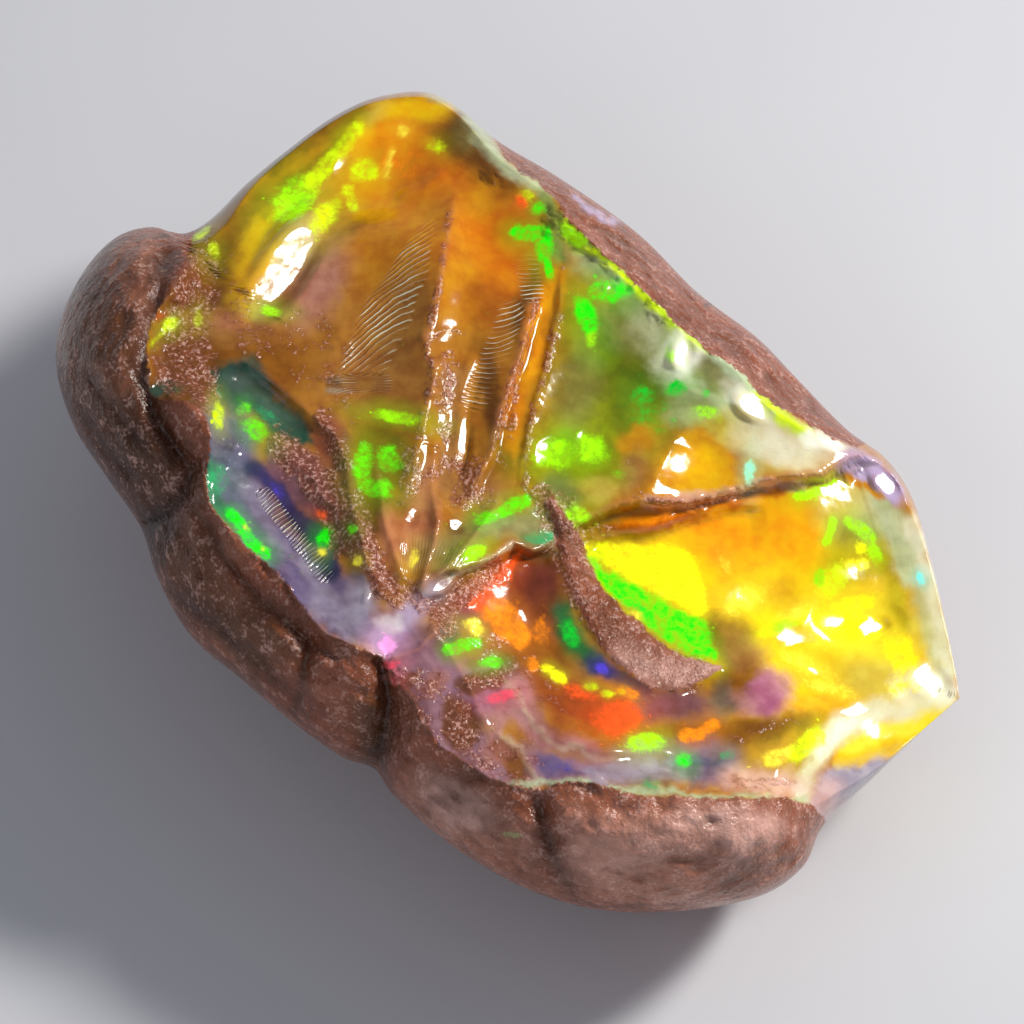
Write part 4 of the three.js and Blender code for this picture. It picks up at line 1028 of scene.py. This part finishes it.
class Finish:
    """A material whose nodes all come from one method."""

    def __init__(self, name):
        self.material = bpy.data.materials.new(name)
        self.material.use_nodes = True
        self.tree = self.material.node_tree
        self.tree.nodes.clear()
        self.place = self.add("ShaderNodeTexCoord", output="Object")

    def add(self, kind, settings=None, inputs=None, output=0):
        node = self.tree.nodes.new(kind)
        for name, value in (settings or {}).items():
            setattr(node, name, value)
        for name, value in (inputs or {}).items():
            if isinstance(value, Wire):
                self.tree.links.new(value.socket, node.inputs[name])
            else:
                node.inputs[name].default_value = value
        return Wire(self, node.outputs[output]) if node.outputs else None

    def calculate(self, operation, *values):
        return self.add("ShaderNodeMath", {"operation": operation}, dict(enumerate(values)))

    def attribute(self, name):
        return self.add("ShaderNodeAttribute", {"attribute_name": name}, output="Vector")

    def parts(self, vector):
        split = self.add("ShaderNodeSeparateXYZ", None, {0: vector}).socket.node
        return [Wire(self, socket) for socket in split.outputs]

    def step(self, value, low, high, bottom=0.0, top=1.0):
        """Bottom at low and top at high, with a smooth rise between them."""
        inputs = {"Value": value, "From Min": low, "From Max": high, "To Min": bottom, "To Max": top}
        return self.add("ShaderNodeMapRange", {"interpolation_type": "SMOOTHSTEP"}, inputs)

    def noise(self, size_mm, detail):
        inputs = {"Vector": self.place, "Scale": 1 / (size_mm * MM), "Detail": detail}
        return self.add("ShaderNodeTexNoise", None, inputs)

    def cells(self, size_mm, output):
        inputs = {"Vector": self.place, "Scale": 1 / (size_mm * MM)}
        return self.add("ShaderNodeTexVoronoi", None, inputs, output)

    def mix(self, factor, first, second, blend="MIX"):
        settings = {"data_type": "RGBA", "blend_type": blend}
        return self.add("ShaderNodeMix", settings, {0: factor, 6: first, 7: second}, output=2)

    def lay(self, paint, factor, under, blend="MIX"):
        """A named paint laid over another colour."""
        return self.mix(factor, under, (*colour(paint), 1), blend)


def stone_textures(stone):
    """What rind and glass are mixed from: values set at the mesh's points, and textures by size in mm."""
    t = SimpleNamespace()
    t.flash, t.near, t.ember = stone.parts(stone.attribute("fire"))
    t.glass, gritty, t.shade = stone.parts(stone.attribute("make"))
    t.count, lined, t.fold = stone.parts(stone.attribute("marks"))
    t.tint = stone.attribute("fire_tint")
    t.lines = stone.step(lined, 0.22, 0.9)
    t.cloud = stone.noise(2.2, 4.0)
    t.speck = stone.noise(0.42, 3.0)
    t.crumb = stone.noise(0.26, 2.0)
    t.haze = stone.noise(1.1, 5.0)
    t.mottle = stone.noise(2.8, 5.0)
    t.shard = stone.cells(0.62, "Distance")
    t.shard_lot, t.shard_hue, _ = stone.parts(stone.cells(0.62, "Color"))
    t.chip_lot, t.chip_glow, _ = stone.parts(stone.cells(0.30, "Color"))
    t.bare = stone.step(t.glass + (t.speck - 0.5) * 0.5, -0.08, 0.12)
    ragged = gritty + (t.haze - 0.5) * 2.2 + (t.speck - 0.5) * 2.0
    t.grit = stone.step(ragged, 0.4, 1.2) * stone.step(gritty, 0.02, 0.3)
    return t


def rind_colour(stone, t):
    """Mottled rind, lighter on its grains, with painted light on its lumps and painted shade in its pits and
    folds.
    """
    rind = stone.lay("umber", stone.step(t.mottle, 0.42, 0.7, 0.0, 0.35), stone.attribute("rind_tone"))
    rind = stone.lay("skin_pink", stone.step(t.crumb + t.haze + t.grit * 0.06, 1.02, 1.3, 0.0, 0.55), rind)
    rind = stone.lay("umber", stone.step(t.haze, 0.48, 0.34, 0.0, 0.3), rind)
    # Painted shade in the pits and painted light on the lumps.
    rind = stone.lay("umber", stone.step(t.shade, 0.0, -0.8, 0.0, 0.5), rind)
    rind = stone.lay("clay", stone.step(t.shade, 0.1, 0.8, 0.0, 0.4), rind)
    # Painted shade in the folds.
    return stone.lay("soot", t.fold * 0.75, rind)


def glass_colour(stone, t, crest):
    """Clouded glass with painted shade in its corners and painted light on its crests, with grit, and pale
    lines on its ripples as painted highlight.
    """
    glass = stone.attribute("body")
    glass = stone.lay("toffee", stone.step(t.cloud, 0.36, 0.66, 0.0, 0.3), glass, "SOFT_LIGHT")
    # Painted shade in the corners and painted light on the crests.
    glass = stone.lay("toffee", stone.step(t.shade, -0.1, -1.0, 0.0, 0.35), glass)
    glass = stone.lay("salmon", stone.step(t.shade, 0.25, 0.9, 0.0, 0.3), glass)
    glass = stone.lay("umber", stone.step(t.haze, 0.46, 0.64, 0.0, 0.18), glass, "SOFT_LIGHT")
    glass = stone.lay("cream", stone.step(t.haze, 0.5, 0.34, 0.0, 0.22), glass, "SOFT_LIGHT")
    glass = stone.lay("rust", t.grit * 0.6, glass)
    glass = stone.lay("skin_pink", stone.step(t.crumb, 0.5, 0.68, 0.0, 0.7) * t.grit, glass)
    glass = stone.lay("umber", stone.step(t.crumb, 0.48, 0.34, 0.0, 0.5) * t.grit, glass)
    # Painted highlight along the crests of the ripples.
    return stone.lay("cream", crest, glass)


def ripples(stone, t):
    """The wave of the fine lines, and the painted highlight on their crests. Each line has a strength of its
    own.
    """
    ragged = (t.cloud - 0.5) * 1.6
    wave = ((t.count + ragged) * math.tau).math("SINE")
    line = (t.count - 0.5 + ragged).math("FLOOR")
    lot = stone.add("ShaderNodeTexWhiteNoise", {"noise_dimensions": "1D"}, {"W": line})
    crest = stone.step(wave + (t.mottle - 0.5) * 1.6, 0.7, 1.05) * stone.step(lot, 0.1, 0.7, 0.2, 1.0)
    return wave, crest * t.lines


def flash_light(stone, t):
    """How brightly each place flashes. The flashes break up into shards, with pinpoints around them."""
    edge = t.flash + (t.haze - 0.5) * 0.7 + (t.shard_lot - 0.5) * 0.1 + (t.crumb - 0.5) * 0.5
    shards = stone.step(t.shard_hue * 0.2 + t.haze + t.speck, 0.75, 1.4, 0.3, 1.0)
    pin = stone.step(t.chip_lot + t.near * 0.12, 1.06, 1.1) * stone.step(t.speck, 0.46, 0.6) * t.chip_glow
    return (stone.step(edge, 0.12, 0.85) * shards).math("MAXIMUM", pin)


def fine_relief(stone, t, wave):
    """Ripples, grit and dust on the glass, and a granular crust on the rind."""
    dust = stone.step(t.chip_lot, 0.93, 0.95) * 0.5
    glassy = wave * t.lines * 0.55 + (t.speck - 0.5) * 0.08 + (t.crumb - 0.5) * t.grit * 2.0
    glassy = glassy + t.shard * t.grit * 0.8 + (t.cloud - 0.5) * 0.3 + dust
    crust = (t.crumb - 0.5) * (1.2 + t.grit * 2.4) + (t.haze - 0.5) * 4.2 + (t.mottle - 0.5) * 4.0
    height = glassy * t.bare + (crust + t.shard * 0.9) * (1 - t.bare)
    inputs = {"Strength": 1.0, "Distance": 0.07 * MM, "Height": height}
    return stone.add("ShaderNodeBump", None, inputs, "Normal")


def stone_finish(name, constants):
    """Glassy opal where the stone is broken, wet granular rind elsewhere. They meet along a ragged line."""
    stone = Finish(name)
    t = stone_textures(stone)
    wave, crest = ripples(stone, t)
    lit = flash_light(stone, t)
    body = stone.mix(t.near * 0.22, glass_colour(stone, t, crest), t.tint)
    body = stone.mix(lit, body, t.tint)
    # Painted glow: the glass gives off its own colour at the glow spots.
    glow = stone.mix(t.ember * t.bare, BLACK, body)
    wet_rind = stone.step(t.haze, 0.4, 0.62, 0.16, 0.3)
    links = {
        "Base Color": stone.mix(t.bare, rind_colour(stone, t), body),
        # Painted glow: the flashes and the glow spots give off light of their own.
        "Emission Color": stone.mix(lit, glow, t.tint),
        "Roughness": (0.13 + t.grit * 0.08 + (t.cloud - 0.5) * 0.1) * t.bare + wet_rind * (1 - t.bare),
        "Normal": fine_relief(stone, t, wave),
    }
    shader = stone.add("ShaderNodeBsdfPrincipled", None, {**constants, "Emission Strength": 0.32, **links})
    stone.add("ShaderNodeOutputMaterial", None, {"Surface": shader})
    return stone.material


def opal_finish():
    return stone_finish("fiery_opal", {
        "IOR": 1.45, "Specular IOR Level": 0.4, "Subsurface Weight": 0.2,
        "Subsurface Scale": 0.9 * MM, "Subsurface Radius": (1.0, 0.6, 0.25),
    })


def rind_finish():
    return stone_finish("wet_rind", {"IOR": 1.42, "Specular IOR Level": 0.5})


# ---------------------------------------------------------------- stage

def pale_floor():
    finish = Finish("pale_floor")
    tone = finish.mix(finish.noise(40, 2.0), (0.62, 0.63, 0.66, 1), (0.68, 0.69, 0.72, 1))
    shader = finish.add("ShaderNodeBsdfPrincipled", None, {"Roughness": 0.75, "Base Color": tone})
    finish.add("ShaderNodeOutputMaterial", None, {"Surface": shader})
    mesh = bpy.data.meshes.new("floor")
    half = 2.0
    corners = [(-half, -half, 0), (half, -half, 0), (half, half, 0), (-half, half, 0)]
    mesh.from_pydata(corners, [], [(0, 1, 2, 3)])
    mesh.materials.append(finish.material)
    floor = bpy.data.objects.new("floor", mesh)
    floor.location.z = cad_box[0][2]
    bpy.context.scene.collection.objects.link(floor)


def lamp(name, place, target, size, watts, tint=(1, 1, 1)):
    data = bpy.data.lights.new(name, "AREA")
    data.size = size
    data.energy = watts
    data.color = tint
    light = bpy.data.objects.new(name, data)
    light.location = place
    light.rotation_euler = (Vector(target) - Vector(place)).to_track_quat("-Z", "Y").to_euler()
    bpy.context.scene.collection.objects.link(light)


def studio(middle):
    world = bpy.data.worlds.new("studio")
    world.use_nodes = True
    sky = world.node_tree.nodes["Background"].inputs
    sky["Color"].default_value = (0.80, 0.84, 0.95, 1)
    sky["Strength"].default_value = 0.29
    bpy.context.scene.world = world
    bpy.context.scene.view_settings.view_transform = "Standard"
    lamp("key", (middle[0] + 0.27, middle[1] + 0.07, 0.27), middle, 0.07, 1.5, (1.0, 0.97, 0.93))
    lamp("fill", (middle[0] - 0.25, middle[1] - 0.30, 0.30), middle, 0.30, 0.28, (0.96, 0.96, 1.0))


def camera_on_break(origin, aim=(0.0002, -0.0004)):
    """Long lens square to the chart, framed a little wider than the stone."""
    distance, frame_width, sharp_plane = 1.5, 0.0717, 0.002
    data = bpy.data.cameras.new("camera")
    data.sensor_width = 36
    data.lens = data.sensor_width * (distance - sharp_plane) / frame_width
    data.clip_start = 0.1
    camera = bpy.data.objects.new("camera", data)
    tilt = Matrix.Rotation(math.pi / 2 - BREAK_ELEVATION, 4, "X")
    camera.matrix_world = Matrix.Translation(origin) @ tilt @ Matrix.Translation((*aim, distance))
    bpy.context.scene.collection.objects.link(camera)
    bpy.context.scene.camera = camera


piece, chart_origin = make_stone()
piece.data.materials.append(opal_finish())
piece.data.materials.append(rind_finish())
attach(piece, "root")
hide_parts(NODE)
pale_floor()
studio(((cad_box[0][0] + cad_box[1][0]) / 2, (cad_box[0][1] + cad_box[1][1]) / 2, 0.012))  # halfway up
camera_on_break(Vector(chart_origin * MM))
